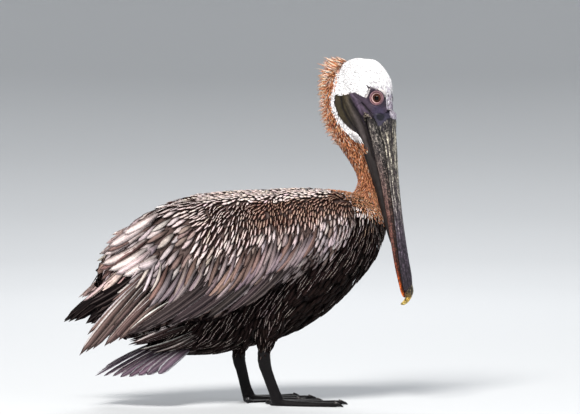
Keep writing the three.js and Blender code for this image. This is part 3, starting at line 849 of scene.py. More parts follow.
def makeCoat(name, batches, material, patch=0.003, nodes=()):
    points, quads, tris, vaneUv, bakeUv = [], [], [], [], []
    core, edge, stripe, span, lean = [], [], [], [], []
    start = 0
    roots = np.concatenate([batch["roots"] for batch, _ in batches])
    places = wrapPlaces(roots) * (1 - 2 * patch) + patch
    first = 0
    for batch, tones in batches:
        number, each = batch["points"].shape[:2]
        base = start + np.arange(number)[:, None, None] * each
        points.append(batch["points"].reshape(-1, 3))
        quads.append((batch["quads"][None] + base).reshape(-1, 4))
        tris.append((batch["tris"][None] + base).reshape(-1, 3))
        place = places[first:first + number]
        size = batch.get("patch", patch)
        offset = np.stack([batch["u"] - 0.5, batch["v"] - 0.5], 1) * size
        vaneUv.append(np.tile(np.stack([batch["u"], batch["v"]], 1), (number, 1)))
        bakeUv.append((place[:, None] + offset[None]).reshape(-1, 2))
        core.append(np.repeat(tones["core"], each, 0))
        edge.append(np.repeat(tones["edge"], each, 0))
        stripe.append(np.repeat(np.broadcast_to(tones["stripe"], number), each))
        span.append(np.repeat(batch["lengths"], each))
        lean.append(np.full(number * each, float(tones.get("lean", 0))))
        start += number * each
        first += number
    points, quads, tris = map(np.concatenate, (points, quads, tris))
    mesh = bpy.data.meshes.new(name)
    mesh.vertices.add(len(points))
    mesh.vertices.foreach_set("co", points.astype(np.float32).ravel())
    loops = np.concatenate([quads.ravel(), tris.ravel()]).astype(np.int32)
    mesh.loops.add(len(loops))
    mesh.loops.foreach_set("vertex_index", loops)
    mesh.polygons.add(len(quads) + len(tris))
    starts = np.concatenate([np.arange(len(quads)) * 4, len(quads) * 4 + np.arange(len(tris)) * 3])
    mesh.polygons.foreach_set("loop_start", starts.astype(np.int32))
    mesh.polygons.foreach_set("use_smooth", np.ones(len(starts), bool))
    mesh.update(calc_edges=True)
    for uvName, uv in (("OFBake", np.concatenate(bakeUv)), ("vane", np.concatenate(vaneUv))):
        layer = mesh.uv_layers.new(name=uvName)
        layer.data.foreach_set("uv", uv[loops].astype(np.float32).ravel())
    for toneName, tone in (("coreTone", core), ("edgeTone", edge)):
        giveTones(mesh, toneName, np.concatenate(tone))
    for valueName, value in (("stripe", stripe), ("span", span), ("lean", lean)):
        giveValues(mesh, valueName, np.concatenate(value))
    mesh.materials.append(material)
    piece = bpy.data.objects.new(name, mesh)
    bpy.context.scene.collection.objects.link(piece)
    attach(piece, "root")
    if nodes:
        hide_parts(*nodes)
    print(name, "has", 2 * len(quads) + len(tris), "triangles,", len(roots), "feathers")


# Values at places from a short table of (x, z, values...), nearer rows counting more.
def fromTable(table, x, z, columns):
    table = np.asarray(table, float)
    away = (x[:, None] - table[None, :, 0]) ** 2 + (z[:, None] - table[None, :, 1]) ** 2
    weight = 1 / (away + 60.0) ** 2
    weight /= weight.sum(1, keepdims=True)
    angle = np.radians(table[:, 2])
    direction = np.stack([weight @ np.cos(angle), np.zeros(len(x)), weight @ np.sin(angle)], 1)
    return unit(direction), *[weight @ table[:, column] for column in columns]


def shades(number, tone, spreadOf=0.12, warmth=0.03):
    light = np.exp(random.normal(0, spreadOf, (number, 1)))
    tint = 1 + random.normal(0, warmth, (number, 3))
    return np.clip(np.broadcast_to(tone, (number, 3)) * light * tint, 0, 1)


def mixTones(share, first, second):
    share = np.asarray(share)[:, None]
    return first * (1 - share) + second * share


print("unwrap")
wrapData = makeWrap()
profiles = {
    "bristle": [(0, 0), (0.35, 1.0), (0.75, 0.7), (1, 0)],
    "small": [(0, 0), (0.3, 0.85), (0.68, 1.0), (1, 0)],
    "lance": [(0, 0), (0.2, 0.75), (0.5, 1.0), (0.8, 0.72), (1, 0)],
    "broad": [(0, 0), (0.15, 0.6), (0.4, 0.96), (0.64, 1.0), (0.86, 0.62), (1, 0)],
    "long": [(0, 0), (0.12, 0.6), (0.35, 0.9), (0.6, 1.0), (0.82, 0.92), (0.94, 0.6), (1, 0)],
}
faceNode = outerNode[[face[0] for face in outerFaces]]
faceCentre = outerPoints[np.array(outerFaces)].mean(1)
bareFace = isBareFace(faceCentre, faceNode == nodeNumber["pouch"])
whiteFace = isWhite(faceCentre)


def onNodes(*names):
    return np.isin(faceNode, [nodeNumber[name] for name in names])


headCoat = {
    "long": 2.6, "wide": 1.45, "length": 8, "width": 3.0, "sink": 1.1, "lift": 0.2,
    # along the bill, towards the crown, then the lie: along, sideways out, towards the crown
    "lie": [(10, 20, -1, 0, 0.15), (-24, 20, -1, 0, 0), (-55, 14, -0.85, 0, -0.5), (-85, -8, -0.3, 0, -1),
            (-92, -38, 0.35, 0, -1), (-60, -25, -0.6, 0, -0.8), (-45, -50, -0.2, 0, -1), (-46, -72, 0.6, 0, -0.8),
            (-10, -78, 1, 0, -0.25), (30, -55, 1, 0, 0.4)],
    "white": paint(250, 248, 249), "grey": paint(136, 126, 138), "silver": paint(190, 182, 196),
    "brow": 1500, "browHalf": 25.2, "tuftAt": (-40.6, -10.4), "tuft": paint(44, 34, 44),
}
neckCoat = {
    "long": 2.6, "wide": 1.45, "length": 6.4, "width": 1.45, "sink": 2.4, "lift": 1.6,
    "axis": [(192, 2, 288), (215, 4, 328), (224, 7, 362), (217, 8, 393), (199, 5, 426), (181, 0, 462),
             (174, -4, 500), (179, -7, 534), (185, -10, 560)],
    "chestnut": paint(226, 152, 110), "dark": paint(128, 72, 52), "pale": paint(250, 220, 200),
    "tan": paint(236, 168, 126), "whitish": paint(240, 208, 184),
    # where the neck's soft feathers give way to the body's streaked ones: x, z
    "base": [(150, 352), (182, 340), (190, 328), (212, 316), (240, 306), (262, 296)],
}


def headLie(points):
    local = toHead(points)
    table = np.array(headCoat["lie"], float)
    away = (local[:, :1] - table[None, :, 0]) ** 2 + (local[:, 2:] - table[None, :, 1]) ** 2
    weight = 1 / (away + 80.0) ** 2
    weight /= weight.sum(1, keepdims=True)
    return unit((weight @ table[:, 2:]) @ headAxes)


def neckLie(points):
    axis = np.array(neckCoat["axis"]) * mm
    middles, tangents = (axis[1:] + axis[:-1]) / 2, unit(axis[:-1] - axis[1:])
    away = ((points[:, None] - middles[None]) ** 2).sum(-1)
    weight = 1 / (away + 1e-4) ** 2
    return unit((weight / weight.sum(1, keepdims=True)) @ tangents)


def headTones(points, number):
    local = toHead(points)
    # grey flecks towards the forehead and before the eye
    fleck = smoothStep(30, 6, np.hypot(local[:, 0] + 4, local[:, 2] - 18)) * 0.5
    fleck = np.maximum(fleck, smoothStep(10, 4, np.hypot(local[:, 0] + 44, local[:, 2] + 2)) * 0.4)
    grey = random.random(number) < fleck * 0.5
    front = np.hypot(local[:, 0] - 6, 1.1 * (local[:, 2] - 16))
    soft = smoothStep(66, 18, front) * (0.7 + 0.3 * np.sin(local[:, 0] * 0.5 + local[:, 2] * 0.7))
    soft = np.maximum(soft, smoothStep(26, 8, front))
    silver = random.random(number) < soft * 0.95
    tone = shades(number, headCoat["white"], 0.02, 0.006)
    silvery = shades(int(silver.sum()), headCoat["silver"], 0.14, 0.012)
    tone[silver] = mixTones(0.35 + 0.65 * soft[silver], tone[silver], silvery)
    tone[grey] = shades(int(grey.sum()), headCoat["grey"], 0.3, 0.02)
    tuft = np.hypot(local[:, 0] - headCoat["tuftAt"][0], local[:, 2] - headCoat["tuftAt"][1]) < 1.5
    tone[tuft] = headCoat["tuft"]
    return tone


def neckTones(points, number):
    tone = shades(number, neckCoat["chestnut"], 0.22, 0.05)
    which = random.random(number)
    local = toHead(points)
    nape = smoothStep(0.47, 0.5, points[:, 2]) * smoothStep(-78, -92, local[:, 2] - 0.3 * local[:, 0])
    smooth = smoothStep(0.41, 0.385, points[:, 2]) * smoothStep(0.335, 0.35, points[:, 2])
    which = 0.2 + (which - 0.2) * (1 - 0.2 * smooth) + 0.06 * smooth
    tone = np.where((which < 0.2 - 0.1 * nape)[:, None], shades(number, neckCoat["dark"], 0.25, 0.05), tone)
    tone = tone * (1 + 0.5 * nape[:, None])
    tone = np.where((which > 0.86 - 0.38 * nape)[:, None], shades(number, neckCoat["pale"], 0.12, 0.03), tone)
    low = smoothStep(0.362, 0.34, points[:, 2])
    tan = shades(number, neckCoat["tan"], 0.2, 0.05)
    tan = np.where((which > 0.82)[:, None], shades(number, neckCoat["whitish"], 0.1, 0.03), tan)
    tan = np.where((which < 0.12)[:, None], shades(number, neckCoat["dark"], 0.2, 0.04), tan)
    return mixTones(low, tone, tan)


print("head and neck feathers")
softMaterial = makeVaneMaterial("softPlumage", 0.9, (225, 215, 208), 0.1, 0.05, 0.85)


def growHead():
    chosen = onNodes("head", "neck", "pouch") & whiteFace & ~bareFace & (faceCentre[:, 2] > 0.4)
    evenly = lambda p: (headLie(p), np.full(len(p), headCoat["long"]), np.full(len(p), headCoat["wide"]))
    roots, normals = scatter(chosen, evenly)
    number = len(roots)
    local = toHead(roots)
    nearFace = smoothStep(14, 2, np.hypot(local[:, 0] - headTurn["eyeAlong"], local[:, 2] - headTurn["eyeUp"]) - 8)
    fold = smoothStep(14, 5, np.hypot(local[:, 0] - 28, local[:, 2] + 60))
    length = headCoat["length"] * (1 - 0.45 * nearFace + 0.4 * fold) * np.exp(random.normal(0, 0.14, number))
    direction = headLie(roots) + random.normal(0, 0.06, (number, 3))
    batch = makeVanes(roots, normals, direction, length, headCoat["width"] * np.exp(random.normal(0, 0.12, number)),
                      profiles["bristle"], headCoat["sink"],
                      headCoat["lift"] * random.random(number) + 1.8 * fold, sides=3, turn=0.1, reach=3.0)
    core = headTones(roots, number)
    batches = [(batch, {"core": core, "edge": core * 0.97, "stripe": 0.5})]
    # the last feathers stand on the base of the upper horn
    number = headCoat["brow"]
    along, turn = random.uniform(-3, 17, number), random.uniform(-1.2, 1.2, number)
    mouth, culmen, _ = hornSection(along)
    half = headCoat["browHalf"]
    rootSide = half * np.sign(turn) * np.abs(np.sin(turn)) ** 0.9 + np.sin(turn) * 2.4 * smoothStep(12, 4, along)
    local = np.stack([along, rootSide, mouth + (culmen + 0.6) * np.cos(turn) ** 0.9], 1)
    front = np.interp(along, [-10.3, -2.2, 8, 16.3], [11.0, 10.9, 13.8, 17.2]) + random.normal(0, 0.4, number)
    local = local[local[:, 2] > front]
    number = len(local)
    face = unit(np.stack([np.full(number, 0.15), local[:, 1] / half, np.full(number, 0.9)], 1)) @ headAxes
    lie = unit(np.stack([np.full(number, -1.0), np.zeros(number), np.full(number, 0.1)], 1)
               + random.normal(0, 0.07, (number, 3))) @ headAxes
    batch = makeVanes(fromHead(local), face, lie, 6.5 * np.exp(random.normal(0, 0.14, number)), 2.4,
                      profiles["bristle"], 0.8, 0.6 * random.random(number) + 0.3, sides=3, turn=0.1, reach=3.0)
    core = headTones(fromHead(local), number)
    batches.append((batch, {"core": core, "edge": core * 0.97, "stripe": 0.5}))
    makeCoat("headPlumage", batches, softMaterial)


# True above the line where the neck's soft feathers end on the body, ragged by the given amount.
def aboveNeckBase(points, ragged):
    line = np.array(neckCoat["base"]) * mm
    height = np.interp(points[:, 0], line[:, 0], line[:, 1]) + random.normal(0, ragged * mm, len(points))
    return (points[:, 2] > height) & (points[:, 0] > 0.15)


neckBaseFace = aboveNeckBase(faceCentre, 5.0)


def growNeck():
    chosen = (onNodes("neck", "head", "pouch") & ~whiteFace & ~bareFace) | (onNodes("trunk") & neckBaseFace)
    evenly = lambda p: (neckLie(p), np.full(len(p), neckCoat["long"]), np.full(len(p), neckCoat["wide"]))
    roots, normals = scatter(chosen, evenly)
    number = len(roots)
    direction = neckLie(roots) + random.normal(0, 0.2, (number, 3))
    nape = smoothStep(0.1, 0.7, -(normals @ headAxes[2])) * smoothStep(0.42, 0.46, roots[:, 2])
    length = neckCoat["length"] * np.exp(random.normal(0, 0.16, number)) * (1 + 0.35 * nape)
    batch = makeVanes(roots, normals, direction, length, neckCoat["width"] * np.exp(random.normal(0, 0.15, number)),
                      profiles["bristle"], neckCoat["sink"], neckCoat["lift"] * random.random(number) + 1.6 * nape,
                      sides=3, turn=0.4, reach=4.0)
    core = neckTones(roots, number)
    makeCoat("neckPlumage", [(batch, {"core": core, "edge": core * 0.88, "stripe": 0.5})], softMaterial)


growHead()
growNeck()

# Body feathers: breast, flanks, belly, back.
# x, z, lie in side view, room along and across for each feather, share with a pale streak
bodyLie = [
    (236, 330, -98, 6.5, 4.2, 0.9), (212, 338, -112, 6.5, 4.2, 0.9), (246, 290, -102, 9, 4.6, 0.9),
    (226, 250, -118, 12, 6, 0.5), (200, 220, -132, 13, 6.6, 0.03), (180, 208, -138, 14, 7, 0.0),
    (150, 250, -128, 14, 5.4, 0.85), (190, 290, -118, 11, 4.4, 0.95), (205, 262, -122, 12, 5, 0.75),
    (160, 312, -125, 9, 4.8, 0.9), (120, 170, -138, 14, 7, 0.0), (60, 126, -140, 14, 7, 0.1),
    (100, 225, -126, 13, 5, 0.9), (50, 185, -126, 13, 5, 0.9), (0, 105, -140, 13, 6.4, 0.25),
    (-60, 84, -160, 13, 6.4, 0.2), (-20, 145, -126, 13, 5, 0.9), (-60, 120, -128, 13, 5, 0.9),
    (-100, 84, -168, 17, 7, 0.3), (-140, 84, -160, 18, 7, 0.5), (-110, 120, -130, 14, 6, 0.9),
    (150, 352, 180, 7, 5.6, 1.0), (60, 356, 180, 7, 5.6, 1.0), (-20, 352, -178, 7.5, 5.6, 1.0),
    (-90, 335, -165, 12, 6.5, 1.0), (-140, 300, -150, 18, 8, 1.0), (-150, 200, -150, 20, 9, 0.6),
    (42, 135, -100, 11, 5.4, 0.7), (38, 100, -95, 7, 4, 0.3), (12, 125, -100, 11, 5.4, 0.6), (8, 92, -95, 7, 4, 0.3),
]
bodyTones = {"dark": paint(24, 13, 12), "belly": paint(20, 11, 9), "streak": paint(190, 174, 168),
             "mantle": paint(240, 224, 220), "golden": paint(200, 160, 124)}


def bodyRoom(points):
    direction, long, wide = fromTable(bodyLie, points[:, 0] / mm, points[:, 2] / mm, [3, 4])
    return direction, long, wide


# Mantle feathers that close the back between the folded wings.
def coverBack():
    number = backCover["number"]
    line = np.array(backCover["line"], float)
    x = np.sort(random.uniform(line[0, 0], line[-1, 0], number))
    y = random.uniform(-1, 1, number) * backCover["halfWidth"] + backCover["middle"]
    z = np.interp(x, line[:, 0], line[:, 1]) - 0.012 * (y - backCover["middle"]) ** 2
    slope = np.interp(x + 5, line[:, 0], line[:, 1]) - np.interp(x - 5, line[:, 0], line[:, 1])
    along = unit(np.stack([np.full(number, -10.0), random.normal(0, 0.8, number) - 0.05 * y, -slope + 0.6], 1))
    up = unit(np.stack([-slope / 10, 0.02 * y, np.ones(number)], 1))
    length = np.interp(x, line[:, 0], backCover["length"] - 0.06 * (line[:, 0] - line[0, 0]))
    batch = makeVanes(np.stack([x, y, z], 1) * mm, up, along, length, backCover["width"], profiles["lance"], 1.0, 1.2,
                      turn=0.12, camber=0.15)
    dark = shades(number, wingTones["darkEdge"], 0.2)
    return batch, {"core": shades(number, bodyTones["mantle"], 0.1), "edge": dark, "stripe": np.full(number, 0.42)}


def growBody():
    chosen = (onNodes("trunk") & ~neckBaseFace) | onNodes("thigh_right", "thigh_left")
    roots, normals = scatter(chosen, bodyRoom)
    number = len(roots)
    direction, long, wide, pale = fromTable(bodyLie, roots[:, 0] / mm, roots[:, 2] / mm, [3, 4, 5])
    direction = direction + random.normal(0, 0.1, (number, 3))
    length = long * 1.9 * np.exp(random.normal(0, 0.12, number))
    batch = makeVanes(roots, normals, direction, length, wide * 1.6, profiles["lance"], 3.4, 0.6, turn=0.14,
                      camber=0.15)
    back = smoothStep(0.2, 0.6, normals[:, 2]) * smoothStep(0.27, 0.31, roots[:, 2])
    streaked = random.random(number) < pale
    high = smoothStep(0.26, 0.33, roots[:, 2]) * smoothStep(0.15, 0.2, roots[:, 0])
    streak = mixTones(high * (random.random(number) < 0.5), shades(number, bodyTones["streak"], 0.2),
                      shades(number, bodyTones["golden"], 0.2))
    ground = mixTones(pale, np.tile(bodyTones["belly"], (number, 1)), np.tile(bodyTones["dark"], (number, 1)))
    dark = shades(number, ground, 0.2)
    core = np.where(streaked[:, None], streak, dark * 1.4)
    core = mixTones(back, core, shades(number, bodyTones["mantle"], 0.08))
    stripe = np.where(streaked, 0.04 + 0.07 * high, 0.3) + 0.33 * back
    batches = [(batch, {"core": core, "edge": dark, "stripe": stripe}), coverBack()]
    makeCoat("bodyPlumage", batches, featherMaterial)


# over the gap between the wings: x, z of its line, and the wings' own tones
backCover = {"number": 420, "halfWidth": 19, "middle": -3, "width": 8.5, "length": 30,
             "line": [(-150, 306), (-140, 314), (-110, 330), (-80, 338), (-50, 342), (-20, 344), (10, 345), (40, 344),
                      (80, 346)]}
featherMaterial = makeVaneMaterial("featherVanes", 0.75, (190, 175, 165), 0.06, 0.08, 0.3)

# x, z, lie in side view, room along and across, silver from 0 (small, dark edged) to 1 (broad, grey), under layer
wingLie = [
    (178, 320, -112, 7, 4.4, 0.0, 0), (172, 296, -120, 9, 5, 0.6, 0), (160, 345, 180, 6.5, 5, 0.0, 0),
    (100, 352, 180, 6.5, 5, 0.0, 0), (20, 352, 180, 6.5, 5, 0.0, 0), (-40, 348, 180, 7, 5, 0.0, 0),
    (-78, 338, -168, 10, 5.5, 0.2, 0), (150, 333, -100, 6, 3.6, 0.0, 0), (100, 333, -98, 6, 3.6, 0.0, 0),
    (50, 330, -95, 6, 3.6, 0.0, 0), (0, 328, -98, 7, 4, 0.0, 0), (152, 314, -104, 9, 4.6, 0.55, 0),
    (100, 314, -98, 8.5, 4.2, 0.15, 0), (50, 312, -95, 8.5, 4.2, 0.0, 0), (0, 312, -98, 8.5, 4.4, 0.0, 0),
    (148, 292, -112, 17, 6, 1.0, 0), (100, 295, -106, 17, 5.8, 0.8, 0), (48, 292, -104, 16, 5.6, 0.6, 0),
    (-4, 292, -106, 13, 5, 0.15, 0), (142, 272, -122, 13, 6, 1.0, 0.15), (92, 268, -116, 18, 6.2, 1.0, 0),
    (35, 268, -114, 20, 6.4, 0.95, 0), (-14, 268, -114, 17, 5.8, 0.5, 0), (118, 250, -128, 10, 5.4, 0.6, 0.75),
    (84, 238, -126, 12, 6, 0.7, 0.6), (60, 240, -124, 21, 7, 1.0, 0), (22, 238, -120, 25, 7, 1.0, 0),
    (-28, 240, -118, 24, 7, 1.0, 0),
    (-50, 326, -98, 8, 4.6, 0.0, 0), (-75, 318, -140, 10, 5.2, 0.3, 0), (-92, 300, -138, 17, 7, 0.85, 0),
    (-55, 288, -114, 12, 5, 0.15, 0), (-112, 300, -142, 24, 9, 1.0, 0), (-142, 276, -142, 27, 10, 1.0, 0),
    (-100, 264, -126, 23, 7.4, 0.9, 0), (-55, 262, -118, 17, 6, 0.6, 0), (-30, 205, -120, 26, 7.4, 1.0, 0.2),
    (-70, 215, -122, 26, 7.6, 1.0, 0.1), (20, 208, -124, 26, 7.4, 1.0, 0.4), (-110, 210, -124, 26, 7.6, 1.0, 0.3),
    (-172, 246, -142, 27, 10, 1.0, 0), (-205, 240, -142, 24, 9.4, 1.0, 0), (-132, 226, -130, 24, 8, 0.95, 0.4),
    (-120, 180, -128, 18, 9, 0.3, 1), (-160, 200, -135, 18, 9, 0.3, 1), (-185, 215, -140, 18, 9, 0.3, 1),
    (-215, 205, -142, 18, 9, 0.3, 1), (-200, 160, -132, 18, 9, 0.3, 1), (-60, 155, -140, 18, 9, 0.3, 1),
    (0, 175, -140, 18, 9, 0.3, 1), (60, 208, -138, 18, 9, 0.3, 1), (115, 232, -134, 16, 8, 0.3, 0.8),
]
wingTones = {"lace": paint(232, 214, 208), "darkEdge": paint(50, 28, 24), "silver": paint(192, 176, 177),
             "silverEdge": paint(92, 72, 70), "brown": paint(128, 104, 96), "under": paint(18, 10, 11),
             "streak": paint(190, 156, 138), "bandEdge": paint(62, 34, 26)}
# lower edge of the pale back, over the shoulder's brown band: x, z
paleBack = [(-75, 346), (-57, 336), (20, 338), (80, 342), (130, 347), (170, 356)]


def wingRoom(points):
    direction, long, wide = fromTable(wingLie, points[:, 0] / mm, points[:, 2] / mm, [3, 4])
    return direction, long, wide


def growWing(side, name):
    roots, normals = scatter(onNodes("wing_" + name), wingRoom)
    number = len(roots)
    direction, long, wide, silver, under = fromTable(wingLie, roots[:, 0] / mm, roots[:, 2] / mm, [3, 4, 5, 6])
    direction = direction + random.normal(0, 0.06, (number, 3))
    line = np.array(paleBack) * mm
    above = roots[:, 2] - np.interp(roots[:, 0], line[:, 0], line[:, 1]) + random.normal(0, 1.2 * mm, number)
    top = smoothStep(-1.5 * mm, 1.5 * mm, above) * smoothStep(-0.08, -0.055, roots[:, 0])
    band = smoothStep(-58 * mm, -26 * mm, above) * (1 - top)
    band = band * smoothStep(-0.02, 0.03, roots[:, 0]) * smoothStep(0.5, 0.2, silver)
    inner = (normals[:, 1] * side < -0.6) | ((normals[:, 1] * side < -0.1) & (roots[:, 2] < 0.24))
    inner = inner & (roots[:, 2] < 0.285)
    under = np.where(inner, 1.0, under)
    hidden = smoothStep(0.5, 1, under)
    length = long * (1.75 - 0.85 * hidden) * np.exp(random.normal(0, 0.1, number))
    length = length * (1 - 0.5 * hidden * smoothStep(-0.16, -0.19, roots[:, 0]))
    batches = []
    for chosenOnes, profile in ((long < 9, "small"), ((long >= 9) & (long < 16), "lance"), (long >= 16, "broad")):
        count = int(chosenOnes.sum())
        if not count:
            continue
        shine, below = silver[chosenOnes], under[chosenOnes]
        batch = makeVanes(roots[chosenOnes], normals[chosenOnes], direction[chosenOnes], length[chosenOnes],
                          wide[chosenOnes] * (1.65 - 0.15 * shine), profiles[profile], 3.2 + shine + below,
                          0.7 + 0.4 * shine - 2.4 * below, turn=0.09, camber=0.12 if profile != "broad" else 0.07,
                          thick=0.1 if profile != "broad" else 0.04)
        streaked = band[chosenOnes]
        brown = random.random(count) < 0.3 * shine
        grey = np.where(brown[:, None], shades(count, wingTones["brown"], 0.16),
                        shades(count, wingTones["silver"], 0.16))
        lace = mixTones(streaked, shades(count, wingTones["lace"], 0.1), shades(count, wingTones["streak"], 0.15))
        core = mixTones(shine, lace, grey)
        rim = mixTones(streaked, shades(count, wingTones["darkEdge"], 0.2), shades(count, wingTones["bandEdge"], 0.2))
        edge = mixTones(shine, rim, shades(count, wingTones["silverEdge"], 0.25))
        dark = shades(count, wingTones["under"], 0.2)
        core, edge = mixTones(below, core, dark * 1.5), mixTones(below, edge, dark)
        stripe = 0.1 + 0.02 * streaked + 0.66 * shine + 0.42 * top[chosenOnes] * (1 - shine)
        batches.append((batch, {"core": core, "edge": edge, "stripe": stripe, "lean": -0.12 * side}))
    makeCoat("wingPlumage" + name.capitalize(), batches, featherMaterial)


growBody()
for side, name in ((-1, "right"), (1, "left")):
    growWing(side, name)

# Long wing feathers, in rows.
# each row: where its feathers start and end in side view, how many, how far they stand off and how much each more
rows = {
    "gap": {"from": [(-166, 235), (-166, 213), (-166, 189)], "to": [(-254, 175), (-248, 152), (-234, 142)],
            "number": 7, "width": 15, "lift": 0.2, "rise": 0.1, "core": paint(20, 12, 13), "edge": paint(14, 9, 10),
            "stripe": 0.8, "ragged": 1.5},
    "edgeTertials": {"from": [(-190, 250), (-180, 242)], "to": [(-262, 174), (-243, 178)], "number": 4, "width": 9,
                     "lift": 1.0, "rise": 0.5, "core": paint(196, 174, 168), "edge": paint(116, 92, 88), "stripe": 0.7,
                     "ragged": 1.5},
    "strips": {"from": [(-191, 235), (-181, 235)], "to": [(-234, 194), (-221, 189)], "number": 3, "width": 4.5,
               "lift": 1.2, "rise": 0.2, "core": paint(190, 150, 146), "edge": paint(40, 26, 26), "stripe": 0.5,
               "ragged": 2},
    "secondaries": {"from": [(110, 279), (98, 269), (84, 261), (70, 254), (52, 250), (30, 244), (2, 240), (-20, 236),
                             (-42, 230), (-65, 225)],
                    "to": [(58, 214), (34, 198), (4, 179), (-20, 162), (-47, 148), (-85, 149), (-119, 139),
                           (-149, 136), (-179, 129), (-199, 121)],
                    "number": 11, "width": 16, "lift": 0.5, "rise": 0.35, "core": paint(56, 47, 48),
                    "edge": paint(150, 136, 134), "stripe": 0.84, "ragged": 1.5, "lean": -0.14},
    "fan": {"from": [(-161, 228), (-161, 222), (-160, 217), (-156, 212), (-153, 205), (-148, 198), (-140, 192),
                     (-131, 185), (-118, 179)],
            "to": [(-234, 162), (-256, 116), (-270, 87), (-259, 92), (-244, 100), (-231, 101), (-220, 108),
                   (-207, 111), (-190, 123)],
            "number": 9, "width": 12, "lift": 1.5, "rise": 0.6, "core": paint(104, 84, 80),
            "edge": paint(246, 236, 232), "stripe": 0.72, "ragged": 1.5, "lean": 0.36, "bow": 0.005},
    "medianCoverts": {"from": [(70, 288), (40, 276), (10, 262), (-20, 256), (-60, 252), (-95, 250)],
                      "to": [(50, 240), (20, 226), (-8, 212), (-40, 202), (-82, 194), (-120, 186)],
                      "number": 16, "width": 9.5, "lift": 1.8, "rise": 0.06, "core": paint(150, 132, 132),
                      "edge": paint(66, 48, 46), "stripe": 0.72, "ragged": 9, "brown": 0.3, "profile": "broad",
                      "lean": 0.12},
    "greaterCoverts": {"from": [(118, 296), (100, 284), (80, 274), (52, 262), (21, 250), (-5, 244), (-32, 240),
                                (-62, 235), (-99, 231), (-129, 235)],
                       "to": [(92, 244), (72, 234), (48, 226), (26, 215), (-12, 197), (-42, 190), (-74, 182),
                              (-106, 173), (-140, 165), (-168, 165)],
                       "number": 24, "width": 11.5, "lift": 1.6, "rise": 0.08, "core": paint(136, 120, 124),
                       "edge": paint(50, 37, 38), "stripe": 0.74, "ragged": 7, "brown": 0.35, "profile": "broad",
                       "lean": 0.12},
    "scapulars": {"from": [(-136, 317), (-148, 301), (-158, 288), (-161, 274), (-158, 264), (-148, 255), (-141, 245)],
                  "to": [(-196, 283), (-221, 257), (-226, 246), (-232, 228), (-218, 223), (-200, 217), (-177, 228)],
                  "number": 10, "width": 16, "lift": 2.4, "rise": 0.2, "core": paint(214, 196, 193),
                  "edge": paint(150, 128, 124), "stripe": 0.82, "ragged": 4, "brown": 0.1, "lean": 0.1},
    "whiteTips": {"from": [(-155, 255), (-149, 245), (-139, 241)], "to": [(-186, 212), (-180, 180), (-158, 186)],
                  "number": 4, "width": 8.5, "lift": 3.0, "rise": 0.2, "core": paint(214, 198, 196),
                  "edge": paint(110, 90, 86), "stripe": 0.7, "ragged": 4, "profile": "lance"},
    "rump": {"from": [(-98, 150), (-92, 142), (-84, 134), (-76, 124), (-72, 116)],
             "to": [(-176, 112), (-184, 106), (-180, 100), (-160, 92), (-140, 84)],
             "number": 9, "width": 8, "lift": 1.4, "rise": 0.3, "core": paint(52, 37, 36), "edge": paint(238, 226, 220),
             "stripe": 0.6, "ragged": 6, "profile": "lance", "lean": 0.4},
    "farPrimaries": {"from": [(-140, 222), (-140, 214), (-140, 206), (-140, 198), (-140, 188), (-140, 178),
                              (-140, 168)],
                     "to": [(-281, 137), (-280, 135), (-276, 134), (-264, 134), (-247, 131), (-240, 132), (-222, 131)],
                     "number": 7, "width": 17, "lift": 1.0, "rise": 0.3, "core": paint(22, 14, 15),
                     "edge": paint(14, 9, 10), "stripe": 0.8, "ragged": 0.8, "bow": -0.05},
}
rowsOf = {"right": ["rump", "gap", "edgeTertials", "strips", "secondaries", "fan", "greaterCoverts", "medianCoverts",
                    "scapulars", "whiteTips"],
          "left": ["rump", "farPrimaries", "edgeTertials", "secondaries", "greaterCoverts", "medianCoverts",
                   "scapulars"]}
# each feather from the near side to the far one: root, tip
tailFeathers = [
    ((-84, -30, 96), (-143, -72, 57)), ((-87, -28, 98), (-161, -66, 55)), ((-90, -24, 99), (-174, -58, 53)),
    ((-94, -20, 101), (-188, -48, 50)), ((-98, -15, 103), (-201, -36, 48)), ((-104, -10, 104), (-212, -24, 48)),
    ((-110, -5, 106), (-225, -10, 47)), ((-116, 0, 109), (-237, 4, 47)), ((-118, 6, 111), (-233, 20, 50)),
    ((-117, 12, 111), (-223, 36, 55)), ((-116, 18, 109), (-214, 52, 60)), ((-115, 22, 106), (-201, 64, 63)),
]
tailTones = {"core": paint(90, 76, 90), "edge": paint(236, 228, 232), "stripe": 0.72}
longMaterial = makeVaneMaterial("flightVanes", 0.65, (176, 160, 154), 0.5, 0.1, 0.35)


def alongLine(line, shares):
    line = np.asarray(line, float)
    run = np.linspace(0, 1, len(line))
    return np.stack([np.interp(shares, run, line[:, k]) for k in range(line.shape[1])], 1)


# Middle lines of feathers lying on the side of the wing: flat lines in side view, carried onto the surface.
def ontoSide(flat, side):
    number, count = flat.shape[:2]
    lines, faces = np.empty((number, count, 3)), np.empty((number, count, 3))
    for feather in range(number):
        reach, turned = 0.05, np.array([0.0, side, 0.0])
        for step in range(count):
            x, z = flat[feather, step] * mm
            hit, normal, _, _ = outerTree.ray_cast(Vector((x, side * 0.3, z)), Vector((0, -side, 0)))
            if hit is not None and hit[1] * side > 0 and normal[1] * side > 0.35:
                found, face = hit[1] * side, np.array(normal)
            else:
                found, face = reach - 0.002, turned
            reach = max(found, reach - 0.004) if step else found
            turned = unit(turned + face)
            lines[feather, step] = x, side * reach, z
            faces[feather, step] = turned
    return lines, faces


